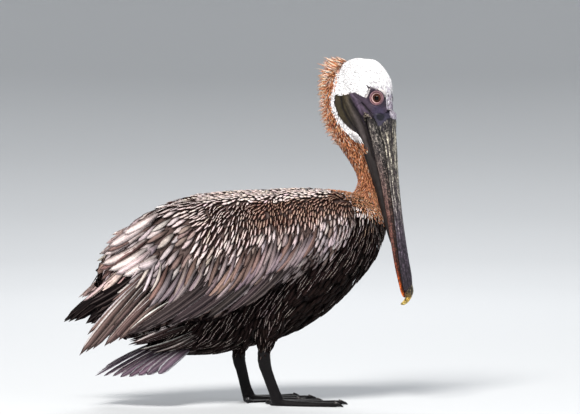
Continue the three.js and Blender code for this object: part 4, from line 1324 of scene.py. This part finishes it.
def growRows(side, name):
    batches = []
    for rowName in rowsOf[name]:
        row = rows[rowName]
        number = row["number"]
        profile = profiles[row.get("profile", "long")]
        steps = np.linspace(0, 1, 9)
        profile = [(at, float(np.interp(at, *zip(*profile)))) for at in steps]
        shares = np.clip(np.linspace(0, 1, number) + random.normal(0, 0.12 / number, number), 0, 1)
        starts, ends = alongLine(row["from"], shares), alongLine(row["to"], shares)
        starts = starts + random.normal(0, row["ragged"] * 0.3, starts.shape)
        ends = ends + unit(ends - starts) * random.normal(0, row["ragged"], (number, 1))
        ends = ends + random.normal(0, 1, ends.shape)
        across = (ends - starts)[:, ::-1] * (-1, 1)
        bow = np.sin(np.pi * steps)[None, :, None] * random.normal(row.get("bow", 0.04), 0.02, (number, 1, 1))
        flat = starts[:, None] + (ends - starts)[:, None] * steps[None, :, None] + across[:, None] * bow
        line, face = ontoSide(flat, side)
        stand = row["lift"] + row["rise"] * np.arange(number)
        line = line + face * (stand[:, None] * (0.35 + 0.65 * steps[None]) * mm)[..., None]
        length = np.linalg.norm(ends - starts, axis=1)
        batch = makeVanes(line[:, 0], face[:, 0], unit(line[:, -1] - line[:, 0]), length,
                          row["width"] * np.exp(random.normal(0, 0.1, number)), profile, 0.0, 0.0,
                          turn=0.1, thick=0.06, camber=0.16, line=(line, face))
        batch["patch"] = 0.02
        brown = (random.random(number) < row.get("brown", 0))[:, None]
        core = np.where(brown, shades(number, wingTones["brown"], 0.15), shades(number, row["core"], 0.14))
        batches.append((batch, {"core": core, "edge": shades(number, row["edge"], 0.1), "stripe": row["stripe"],
                                "lean": -side * row.get("lean", 0)}))
    makeCoat("flight" + name.capitalize(), batches, longMaterial, nodes=["primaries_" + name])


print("long feathers")
growRows(-1, "right")
growRows(1, "left")


def growTail():
    places = np.array(tailFeathers, float) * mm
    number = len(places)
    steps = np.array([at for at, _ in profiles["long"]])
    start, end = places[:, 0], places[:, 1]
    line = start[:, None] + (end - start)[:, None] * steps[None, :, None]
    line[..., 2] += (np.sin(np.pi * steps) * 3 * mm)[None]
    across = np.linspace(-1, 1, number)
    face = unit(np.stack([np.full(number, -0.12), across * 0.75 - 0.25, np.full(number, 0.75)], 1))
    line = line + face[:, None] * ((1 - np.abs(across)) * 3 * mm)[:, None, None]
    faces = np.repeat(face[:, None], len(steps), 1)
    length = np.linalg.norm(end - start, axis=1) / mm
    batch = makeVanes(start, face, unit(end - start), length, 17.5, profiles["long"], 0, 0, turn=0.05,
                      thick=0.05, camber=0.08, line=(line, faces))
    batch["patch"] = 0.05
    tones = {"core": shades(number, tailTones["core"], 0.12), "edge": shades(number, tailTones["edge"], 0.04),
             "stripe": tailTones["stripe"]}
    makeCoat("tailFeathers", [(batch, tones)], longMaterial, nodes=["tail"])


growTail()

# the tufts on the nape: longer where they clump and at the top
crestCoat = {"number": 900, "sink": 7, "length": 12.5, "clumped": 2.0, "longer": 5, "width": 1.2}


def growCrest():
    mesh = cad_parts["crest"].data
    points = pointsOf(mesh)
    number = crestCoat["number"]
    faces = np.array([tuple(face.vertices) for face in mesh.polygons])
    corners = points[faces]
    cross = np.cross(corners[:, 1] - corners[:, 0], corners[:, 2] - corners[:, 0])
    area = np.linalg.norm(cross, axis=1)
    pick = random.choice(len(faces), number, p=area / area.sum())
    u, v = random.random((2, number, 1))
    flip = (u + v) > 1
    u, v = np.where(flip, 1 - u, u), np.where(flip, 1 - v, v)
    tri = corners[pick]
    roots = tri[:, 0] + (tri[:, 1] - tri[:, 0]) * u + (tri[:, 2] - tri[:, 0]) * v
    normals = unit(cross[pick])
    lie = neckLie(roots)
    back = -unit(headAxes[2] * (1, 1, 0.2))
    clump = np.sin(roots[:, 2:] * 900 + 2.0) + 0.6 * np.sin(roots[:, 2:] * 2100)
    direction = unit(lie * (0.35 + 0.3 * clump) + back + random.normal(0, 0.16, (number, 3)))
    peak = smoothStep(0.535, 0.562, roots[:, 2:])
    direction = unit(direction * (1 - 0.6 * peak) + peak * (back + (0, 0, 0.75)))
    roots = roots - direction * crestCoat["sink"] * mm
    length = crestCoat["length"] + crestCoat["clumped"] * clump[:, 0] + crestCoat["longer"] * peak[:, 0]
    length = length * np.exp(random.normal(0, 0.18, number))
    steps = np.array([at for at, _ in profiles["bristle"]])
    line = roots[:, None] + direction[:, None] * (length[:, None] * steps[None] * mm)[..., None]
    facing = np.repeat(unit(normals - direction * dots(normals, direction))[:, None], len(steps), 1)
    batch = makeVanes(roots, normals, direction, length, crestCoat["width"], profiles["bristle"], 0, 0, sides=3,
                      turn=0.5, line=(line, facing))
    which = random.random(number)
    core = np.where((which < 0.55)[:, None], shades(number, neckCoat["chestnut"], 0.25, 0.06),
                    shades(number, neckCoat["pale"], 0.15, 0.04))
    makeCoat("crestPlumage", [(batch, {"core": core, "edge": core, "stripe": 0.5})], softMaterial,
             nodes=["crest"])


growCrest()

billShape = {
    # along, mouth line's height, culmen above it, half width, lower jaw's depth
    "stations": [(-6, -19, 24, 24, 16), (12, -9.5, 27, 25.5, 20), (36, -4, 19, 24.5, 21.5), (64, 0, 12.9, 22, 22),
                 (120, 0, 9.7, 18, 16.8), (180, 0, 9, 16, 14), (236, 0, 10.4, 17, 11.5), (274, 0, 12.5, 16.5, 9),
                 (300, 0, 11, 11, 6)],
    "around": 72, "along": 220,
}
# how far the face's bare skin runs onto the upper horn: towards the crown, along the bill
hornSkin = [(-16, 3), (-10.3, 9.2), (-6, 19.7), (-2.6, 24.4), (1.3, 19), (6.5, 16.4), (11.4, 11.2), (17.5, 10.5)]
nostril = {"at": (7.6, 0.3), "radius": 8.2}
nailShape = {
    "stations": [(284, 5, 7.2, 7, 5), (298, 6, 7.6, 8.4, 5), (309, 2.5, 6.5, 6.6, 5), (316, -4.5, 4, 4, 3.6),
                 (318, -10.5, 1.4, 1.4, 1.4)],
}


def smoothAt(values, t):
    values = np.asarray(values, float)
    at = np.clip(t, 0, 1) * (len(values) - 1)
    i = np.minimum(at.astype(int), len(values) - 2)
    f = at - i
    a, b = values[i], values[i + 1]
    before, after = values[np.maximum(i - 1, 0)], values[np.minimum(i + 2, len(values) - 1)]
    return 0.5 * (2 * a + (b - before) * f + (2 * before - 5 * a + 4 * b - after) * f ** 2
                  + (3 * (a - b) + after - before) * f ** 3)


def capped(t, start, end):
    away = np.where(t < start, (start - t) / start, np.where(t > 1 - end, (t - 1 + end) / end, 0))
    return np.sqrt(np.clip(1 - away ** 2, 0, 1))


# A sphere wrapped into a long horn: place gives the head-frame point for a share of the length and a turn.
def wrapHorn(name, around, along, place):
    clearSelection()
    bpy.ops.mesh.primitive_uv_sphere_add(segments=around, ring_count=along, radius=1)
    piece = bpy.context.active_object
    piece.name = name
    points = pointsOf(piece.data)
    t = (1 - points[:, 2]) / 2
    turn = np.arctan2(points[:, 1], points[:, 0])
    local, reach, angle = place(t, turn)
    setPoints(piece.data, fromHead(local))
    turnOutwards(piece)
    bound = np.interp(local[:, 2], *zip(*hornSkin))
    skinShare = smoothStep(1.2, -1.2, local[:, 0] - bound) * (name == "billUpper")
    spot = np.hypot(local[:, 0] - nostril["at"][0], local[:, 2] - nostril["at"][1])
    for valueName, value in (("alongBill", reach), ("roundBill", angle), ("skinShare", skinShare), ("nostril", spot)):
        giveValues(piece.data, valueName, value)
    shadeSmooth(piece)
    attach(piece, "root")
    return piece


def bump(angle, centre, width):
    return np.exp(-((angle - centre) / width) ** 2)


# How much the upper horn widens where it meets the skin, so that the two lie flush.
def baseFill(along):
    return np.interp(along, [-2, 2, 4, 6, 8, 10, 14], [0, 3.4, 3.2, 2.6, 1.6, 0.8, 0])


def rounded(value, power):
    return np.sign(value) * np.abs(value) ** power


def sectionAt(shape, t):
    return [smoothAt(column, t) for column in np.array(shape["stations"]).T]


def upperBillPlace(t, turn):
    along, mouth, culmen, half, _ = sectionAt(billShape, t)
    share = capped(t, 0.05, 0.06)
    angle = turn + np.pi / 2
    c, s = np.cos(angle), np.sin(angle)
    up = np.where(s > 0, culmen, 0.8) * share
    fromTop = np.abs(np.arctan2(c, s))
    begin = smoothStep(2, 40, along)
    ridge = 1.3 * bump(fromTop, 0, 0.34) * smoothStep(20, 90, along)
    groove = (1.8 * bump(fromTop, 0.66, 0.12) * begin + 1.1 * bump(fromTop, 1.12, 0.1) * smoothStep(0, 20, along)
              + 0.5 * bump(fromTop, 1.36, 0.06))
    streak = 0.22 * np.sin(fromTop * 31 + 1.5 * np.sin(along * 0.05)) * smoothStep(280, 60, along)
    flake = 0.18 * np.sin(along * 0.9 + fromTop * 9) * smoothStep(250, 40, along)
    inward = (groove - ridge * 0.6 - streak - flake) * share * (s > 0.02)
    side = rounded(c, 0.9) * half * share - c * inward + c * baseFill(along) * smoothStep(0, 0.25, s)
    height = mouth + rounded(s, 0.9) * up - s * inward
    return np.stack([along, side, height], 1), along, angle


def lowerBillPlace(t, turn):
    along, mouth, _, half, depth = sectionAt(billShape, t)
    along = along + 8 * smoothStep(270, 300, along)
    share = capped(t, 0.06, 0.07)
    angle = turn - np.pi / 2
    c, s = np.cos(angle), np.sin(angle)
    up = np.where(s > 0, 0.4, depth - 1.6) * share
    below = np.arctan2(-s, np.abs(c))
    groove = 0.9 * bump(below, 0.2, 0.09) + 0.8 * bump(below, 0.95, 0.12) * smoothStep(0, 30, along)
    scribble = 0.3 * np.sin(along * 0.55 + 5 * np.sin(below * 7 + along * 0.06)) * smoothStep(120, 20, along)
    inward = (groove - scribble) * share * (s < -0.02)
    power = 0.8 - 0.34 * smoothStep(10, 60, along) * smoothStep(300, 250, along)
    side = rounded(c, power) * (half - 1.4) * share - c * inward
    height = mouth - 1.6 + rounded(s, power) * up - s * inward
    return np.stack([along, side, height], 1), along, angle


def nailPlace(t, turn):
    along, middle, up, half, down = sectionAt(nailShape, t)
    share = capped(t, 0.1, 0.08)
    c, s = np.cos(turn), np.sin(turn)
    lean = smoothStep(300, 318, along)
    reach = np.where(s > 0, up, down) * share
    side = c * half * share
    height = middle + s * reach * (1 - 0.75 * lean)
    along = along + s * reach * 0.9 * lean
    return np.stack([along, side, height], 1), along, turn


def toneRamp(tree, value, stops):
    made = addNode(tree, "ShaderNodeValToRGB", {0: value})
    ramp = made.color_ramp
    while len(ramp.elements) < len(stops):
        ramp.elements.new(0.5)
    for element, (at, tone) in zip(ramp.elements, stops):
        element.position = at
        element.color = (*paint(*tone), 1)
    return made.outputs["Color"]


def makeBillMaterial(name, base, streaks, streakFrom, streakTo, roughness, flakes):
    material, tree, shader = newMaterial(name, roughness)
    along = readValue(tree, "alongBill")
    angle = readValue(tree, "roundBill")
    share = calc(tree, "DIVIDE", along, 320.0)
    lengthwise = addNode(tree, "ShaderNodeCombineXYZ", {0: calc(tree, "MULTIPLY", along, 0.022),
                                                        1: calc(tree, "MULTIPLY", angle, 5.0)}).outputs[0]
    streakNoise = noiseOf(tree, lengthwise, 2.4, 5.0, 0.65)
    place = placeOn(tree)
    fleck = noiseOf(tree, place, 340.0, 3.0, 0.6)
    blotch = spread(tree, noiseOf(tree, place, 120.0, 3.0, 0.6), 0.36, 0.62, 0.55, 1.2)
    ground = toneRamp(tree, share, base)
    pale = toneRamp(tree, share, streaks)
    fading = calc(tree, "MULTIPLY", spread(tree, along, streakTo, streakFrom, 0.2, 1.0), spread(tree, along, 4.0, 26.0))
    amount = calc(tree, "MULTIPLY", spread(tree, streakNoise, 0.49, 0.58), fading)
    rise = calc(tree, "ABSOLUTE", calc(tree, "SINE", angle))
    bands = spread(tree, calc(tree, "SINE", calc(tree, "MULTIPLY", rise, 14.0)), -0.5, 0.9, 0.15, 1.0)
    shader.inputs["Specular IOR Level"].default_value = 0.3
    streaked = blendTones(tree, calc(tree, "MULTIPLY", amount, bands), ground, pale)
    # painted shade: each horn darkens where its section turns to the cutting edge, along the mouth line
    tone = blendTones(tree, 1.0, streaked, spread(tree, rise, 0.04, 0.2, 0.12, 1.0), "MULTIPLY")
    speckled = blendTones(tree, 1.0, tone, spread(tree, fleck, 0.34, 0.66, 0.42, 1.6), "MULTIPLY")
    speckled = blendTones(tree, spread(tree, along, 60.0, 160.0), speckled,
                          blendTones(tree, 1.0, speckled, blotch, "MULTIPLY"))
    flaky = noiseOf(tree, place, 260.0, 2.0, 0.7)
    paleFlake = calc(tree, "MULTIPLY", spread(tree, flaky, 0.53, 0.6, 0.0, flakes), fading)
    speckled = blendTones(tree, paleFlake, speckled, pale)
    darkFlake = spread(tree, noiseOf(tree, place, 310.0, 2.0, 0.7), 0.4, 0.5, 0.45, 1.08)
    speckled = blendTones(tree, 1.0, speckled, darkFlake, "MULTIPLY")
    bare = blendTones(tree, spread(tree, readValue(tree, "nostril"), nostril["radius"], nostril["radius"] * 0.6),
                      paint(50, 46, 62), paint(16, 15, 26))
    skinned = blendTones(tree, readValue(tree, "skinShare"), speckled,
                         blendTones(tree, 1.0, bare, spread(tree, fleck, 0.3, 0.7, 0.8, 1.2), "MULTIPLY"))
    tree.links.new(skinned, shader.inputs["Base Color"])
    height = calc(tree, "ADD", streakNoise, calc(tree, "MULTIPLY", fleck, 0.5))
    addBump(tree, shader, height, 0.5 * mm)
    return material


print("bill")
# tones by share of the bill's length: the horn itself, then its pale streaks, and how the streaks fade
billFinish = {
    "upper": {
        "base": [(0.0, (28, 23, 32)), (0.12, (32, 27, 31)), (0.35, (58, 50, 51)), (0.6, (58, 48, 58)),
                 (0.85, (48, 39, 48)), (0.95, (30, 24, 27))],
        "streaks": [(0.0, (160, 150, 140)), (0.12, (236, 224, 200)), (0.4, (232, 222, 204)), (0.7, (140, 124, 146)),
                    (0.95, (124, 104, 128))],
        "streakFrom": 130.0, "streakTo": 250.0, "roughness": 0.5, "flakes": 0.0},
    "lower": {
        "base": [(0.0, (28, 22, 24)), (0.2, (38, 31, 33)), (0.42, (70, 50, 49)), (0.66, (98, 62, 56)),
                 (0.76, (92, 46, 36)), (0.84, (140, 60, 28)), (0.92, (206, 92, 22)), (1.0, (222, 118, 36))],
        "streaks": [(0.0, (196, 188, 176)), (0.2, (180, 168, 160)), (0.5, (176, 136, 122)), (0.72, (170, 96, 66)),
                    (0.86, (220, 110, 40)), (1.0, (230, 140, 60))],
        "streakFrom": 50.0, "streakTo": 260.0, "roughness": 0.5, "flakes": 0.4},
    "nail": {
        "base": [(0.86, (40, 32, 36)), (0.935, (36, 29, 30)), (0.955, (104, 78, 38)), (0.97, (196, 156, 60)),
                 (1.0, (226, 202, 120))],
        "streaks": [(0.86, (110, 92, 78)), (1.0, (236, 216, 150))],
        "streakFrom": 300.0, "streakTo": 320.0, "roughness": 0.4, "flakes": 0.0},
}
upperMaterial, lowerMaterial, nailMaterial = (makeBillMaterial(name + "Horn", **finish)
                                              for name, finish in billFinish.items())

for pieceName, place, material, node, slot in (
        ("billUpper", upperBillPlace, upperMaterial, "bill_upper", "bill_horn"),
        ("billLower", lowerBillPlace, lowerMaterial, "bill_lower", "bill_horn")):
    piece = wrapHorn(pieceName, billShape["around"], billShape["along"], place)
    piece.data.materials.append(material)
    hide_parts(node)
nail = wrapHorn("billNail", 40, 48, nailPlace)
nail.data.materials.append(nailMaterial)
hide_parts("bill_nail")

eyeShape = {"radius": 9.2, "sunk": 0.2, "bulge": 0.7, "bulgeReach": 5.6}


def makeEyeMaterial():
    material, tree, shader = newMaterial("eye", 0.06)
    away = readValue(tree, "fromPupil")
    fibre = noiseOf(tree, placeOn(tree), 900.0, 3.0)
    share = calc(tree, "ADD", calc(tree, "DIVIDE", away, 8.0), calc(tree, "MULTIPLY_ADD", fibre, 0.05, -0.025))
    tone = toneRamp(tree, share, [(0.0, (5, 4, 4)), (0.44, (5, 4, 4)), (0.5, (46, 25, 19)), (0.66, (80, 46, 34)),
                                  (0.78, (44, 26, 23)), (0.83, (14, 9, 10)), (1.0, (10, 7, 8))])
    tree.links.new(tone, shader.inputs["Base Color"])
    shader.inputs["Specular IOR Level"].default_value = 0.12
    return material


def makeEye(name, side, material):
    clearSelection()
    centre = fromHead([[headTurn["eyeAlong"], side * (headTurn["eyeSide"] - eyeShape["sunk"]), skinShape["lidUp"]]])[0]
    bpy.ops.mesh.primitive_ico_sphere_add(subdivisions=5, radius=eyeShape["radius"] * mm, location=centre)
    eye = bpy.context.active_object
    eye.name = "eye" + name.capitalize()
    bpy.ops.object.transform_apply(location=True, rotation=True, scale=True)
    points = pointsOf(eye.data)
    local = toHead(points)
    away, _ = roundEye(local)
    outer = local[:, 1] * side > headTurn["eyeSide"]
    local[:, 1] += side * outer * eyeShape["bulge"] * np.clip(1 - (away / eyeShape["bulgeReach"]) ** 2, 0, 1)
    setPoints(eye.data, fromHead(local))
    giveValues(eye.data, "fromPupil", away)
    shadeSmooth(eye)
    eye.data.materials.append(material)
    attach(eye, "root")
    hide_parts("eye_" + name)


print("eyes")
eyeMaterial = makeEyeMaterial()
makeEye("right", -1, eyeMaterial)
makeEye("left", 1, eyeMaterial)

feetShape = {
    "right": {"at": (56.5, -47), "turn": -4, "inward": 1},
    "left": {"at": (24.5, 47), "turn": 8, "inward": -1},
    "toes": [("hind", 34, 108), ("inner", 86, 30), ("middle", 107, 4), ("outer", 101, -21)],
    "claw": 13, "clawWide": 2.9, "clawHigh": 4.0, "clawArch": 5.2,
}


def makeClaw(name, base, heading, material):
    clearSelection()
    bpy.ops.mesh.primitive_cone_add(vertices=16, radius1=1, radius2=0.12, depth=1, end_fill_type="NGON")
    claw = bpy.context.active_object
    claw.name = name
    bpy.ops.object.mode_set(mode="EDIT")
    bpy.ops.mesh.select_all(action="SELECT")
    bpy.ops.mesh.subdivide(number_cuts=5)
    bpy.ops.object.mode_set(mode="OBJECT")
    points = pointsOf(claw.data)
    t = points[:, 2] + 0.5
    along = -3 + t * (feetShape["claw"] + 2.6)
    wide, high = feetShape["clawWide"], feetShape["clawHigh"]
    arch = feetShape["clawArch"] * (1 - t ** 1.8)
    radius = np.hypot(points[:, 0], points[:, 1])
    size = (1 - t) ** 0.7 * 0.92 + 0.06
    angle = np.arctan2(points[:, 1], points[:, 0])
    ring = np.where(radius > 1e-4, np.minimum(1, radius / np.maximum(1 - 0.88 * t, 0.1)), 0)
    x = np.cos(angle) * ring * size * wide
    z = np.maximum(np.sin(angle) * ring * size * high + arch, 0.25)
    sideways = np.array([-heading[1], heading[0]])
    spot = np.stack([base[0] + heading[0] * along + sideways[0] * x,
                     base[1] + heading[1] * along + sideways[1] * x, z], 1)
    setPoints(claw.data, spot * mm)
    turnOutwards(claw)
    shadeSmooth(claw)
    claw.data.materials.append(material)
    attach(claw, "root")


def makeClawMaterial():
    material, tree, shader = newMaterial("clawHorn", 0.35)
    grain = noiseOf(tree, placeOn(tree), 500.0, 4.0)
    tree.links.new(blendTones(tree, grain, paint(26, 21, 22), paint(58, 48, 44)), shader.inputs["Base Color"])
    addBump(tree, shader, grain, 0.2 * mm)
    return material


print("claws")
clawMaterial = makeClawMaterial()
for name in ("right", "left"):
    foot = feetShape[name]
    for toe, length, angle in feetShape["toes"]:
        turn = math.radians(angle * foot["inward"] + foot["turn"])
        heading = np.array([math.cos(turn), math.sin(turn)])
        base = np.array(foot["at"]) + heading * length
        makeClaw("claw" + toe.capitalize() + name.capitalize(), base, heading, clawMaterial)

skinTones = {"face": (66, 55, 68), "faceBlue": (54, 47, 66), "nostril": (16, 15, 26), "pouch": (54, 48, 47),
             "olive": (56, 49, 34),
             "horn": (36, 29, 30), "fleck": (150, 138, 124), "leg": (12, 8, 10)}
# colour of the ring round the eye by distance from its middle
ringTones = [(7.0, (204, 168, 164)), (7.9, (196, 156, 152)), (8.5, (128, 88, 90)), (10.3, (118, 84, 92)),
             (11.0, (158, 120, 126)), (11.9, (120, 92, 104)), (12.6, (30, 24, 36)), (14.0, (52, 46, 62))]
# the horny tongue at the base of the lower jaw
jawTongue = [(60, -25), (31, -28.2), (12.4, -31.1), (2.7, -29.4), (-3.4, -24.8), (-1.1, -19.8), (7.8, -14.8),
             (21.9, -8.7), (60, -4)]


def paintSkin():
    points = pointsOf(skin.data)
    number = len(points)
    local = toHead(points)
    along, side, up = local.T
    node = nearestNode(points)
    bare = isBareFace(points, node == nodeNumber["pouch"])
    tones = {name: np.tile(paint(*tone), (number, 1)) for name, tone in skinTones.items()}
    tone = np.tile(bodyTones["dark"], (number, 1))
    neck = node == nodeNumber["neck"]
    tone[neck] = neckCoat["dark"]
    tone[np.isin(node, [nodeNumber["wing_right"], nodeNumber["wing_left"]])] = paint(78, 62, 58)
    white = isWhite(points) & np.isin(node, [nodeNumber["head"], nodeNumber["neck"], nodeNumber["pouch"]])
    tone[white] = paint(216, 208, 206)
    naked = bare | ((node == nodeNumber["pouch"]) & (along > 30))
    pouchShare = smoothStep(-38, -60, up) * smoothStep(30, 0, along)
    pouchTone = mixTones(pouchShare, tones["pouch"], tones["olive"])
    pouchTone = pouchTone * (1 - 0.42 * smoothStep(30, 90, along))[:, None]
    faceTone = mixTones(smoothStep(16, 4, np.hypot(along + 2, up + 2)), tones["face"], tones["faceBlue"])
    pouchSide = up < np.interp(along, [-40, -20, 0, 15, 30, 40], [-48, -42, -36, -32, -26, 20])
    skinTone = np.where((naked & pouchSide)[:, None], pouchTone, faceTone)
    tone = np.where(naked[:, None], skinTone, tone)
    away, angle = roundEye(local)
    lid = smoothStep(14.5, 12.4, away) * (np.abs(side) > 18) * (along < 10)
    radius, ring = zip(*ringTones)
    ring = np.array([paint(*one) for one in ring])
    oval = away * (1 - 0.05 * np.cos(angle + 2.1))
    ringTone = np.stack([np.interp(oval, radius, ring[:, k]) for k in range(3)], 1)
    wrinkled = 1 + 0.28 * np.sin(away * 5.2 + 1.6 * np.sin(angle * 4)) * smoothStep(8, 9, away)
    paleSide = 0.72 + 0.42 * smoothStep(-0.4, 0.9, np.cos(angle + 1.2))
    tone = mixTones(lid, tone, ringTone * (wrinkled * paleSide)[:, None])
    # painted shade in the fold of the lid behind and below the eye
    tone = mixTones(lidFold(away, angle, 0.65) * (away < 12) * 0.9 * lid, tone, tones["face"] * 0.3)
    spot = smoothStep(nostril["radius"], nostril["radius"] * 0.6,
                      np.hypot(along - nostril["at"][0], up - nostril["at"][1])) * (np.abs(side) > 12)
    tone = mixTones(spot, tone, tones["nostril"])
    horny = smoothStep(-1, 1, along - np.interp(up, *zip(*hornSkin))) * (up > -14) * (np.abs(side) > 4)
    tone = mixTones(horny * bare, tone, tones["horn"])
    tongue = insideOutline(np.array(jawTongue), along, up) & (np.abs(side) > 12) & (node != nodeNumber["neck"])
    flecked = np.sin(along * 1.3 + 2.2 * np.sin(up * 0.9)) * np.sin(up * 1.7 + along * 0.4) > 0.35
    tone[tongue] = tones["horn"][tongue]
    tone[tongue & flecked] = tones["fleck"][tongue & flecked]
    # grooves hold shadow
    dark = np.zeros(number)
    for groove, depth, width in skinShape["grooves"]:
        gap, _ = awayFromLine(groove, along, up)
        dark = np.maximum(dark, np.exp(-(gap / (width * 0.8)) ** 2) * min(1, depth / 2))
    tone = mixTones(dark * naked * (1 - lid) * 0.92, tone, tones["face"] * 0.08)
    # painted highlight along the raised ridges
    light = np.zeros(number)
    for ridge, _, width in skinShape["ridges"]:
        gap, _ = awayFromLine(ridge, along, up)
        light = np.maximum(light, np.exp(-(gap / width) ** 2))
    tone = tone * (1 + 0.8 * light * naked * (1 - lid))[:, None]
    foot = np.isin(node, [nodeNumber[n] for n in ("leg_right", "leg_left", "foot_right", "foot_left")])
    tone[foot] = paint(*skinTones["leg"])
    giveTones(skin.data, "skinTone", tone)
    giveValues(skin.data, "scaly", foot)


def makeSkinMaterial():
    material, tree, shader = newMaterial("skinFinish", 0.55)
    shader.inputs["Specular IOR Level"].default_value = 0.18
    place = placeOn(tree)
    fine, coarse = noiseOf(tree, place, 700.0, 4.0, 0.6), noiseOf(tree, place, 140.0, 3.0)
    cells = addNode(tree, "ShaderNodeTexVoronoi", {"Vector": place, "Scale": 420.0}, feature="DISTANCE_TO_EDGE")
    scales = cells.outputs["Distance"]
    scaly = readValue(tree, "scaly")
    mottle = spread(tree, coarse, 0.3, 0.7, 0.78, 1.2)
    tone = blendTones(tree, 1.0, readTone(tree, "skinTone"), mottle, "MULTIPLY")
    tone = blendTones(tree, 1.0, tone, spread(tree, fine, 0.3, 0.7, 0.85, 1.12), "MULTIPLY")
    tree.links.new(tone, shader.inputs["Base Color"])
    scale = calc(tree, "MULTIPLY", spread(tree, scales, 0.0, 0.12), scaly)
    height = calc(tree, "ADD", calc(tree, "MULTIPLY", fine, 0.35), scale)
    addBump(tree, shader, height, 0.5 * mm)
    return material


print("skin finish")
paintSkin()
skin.data.materials.append(makeSkinMaterial())
shadeSmooth(skin)
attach(skin, "root")
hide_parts(*fleshNodes)
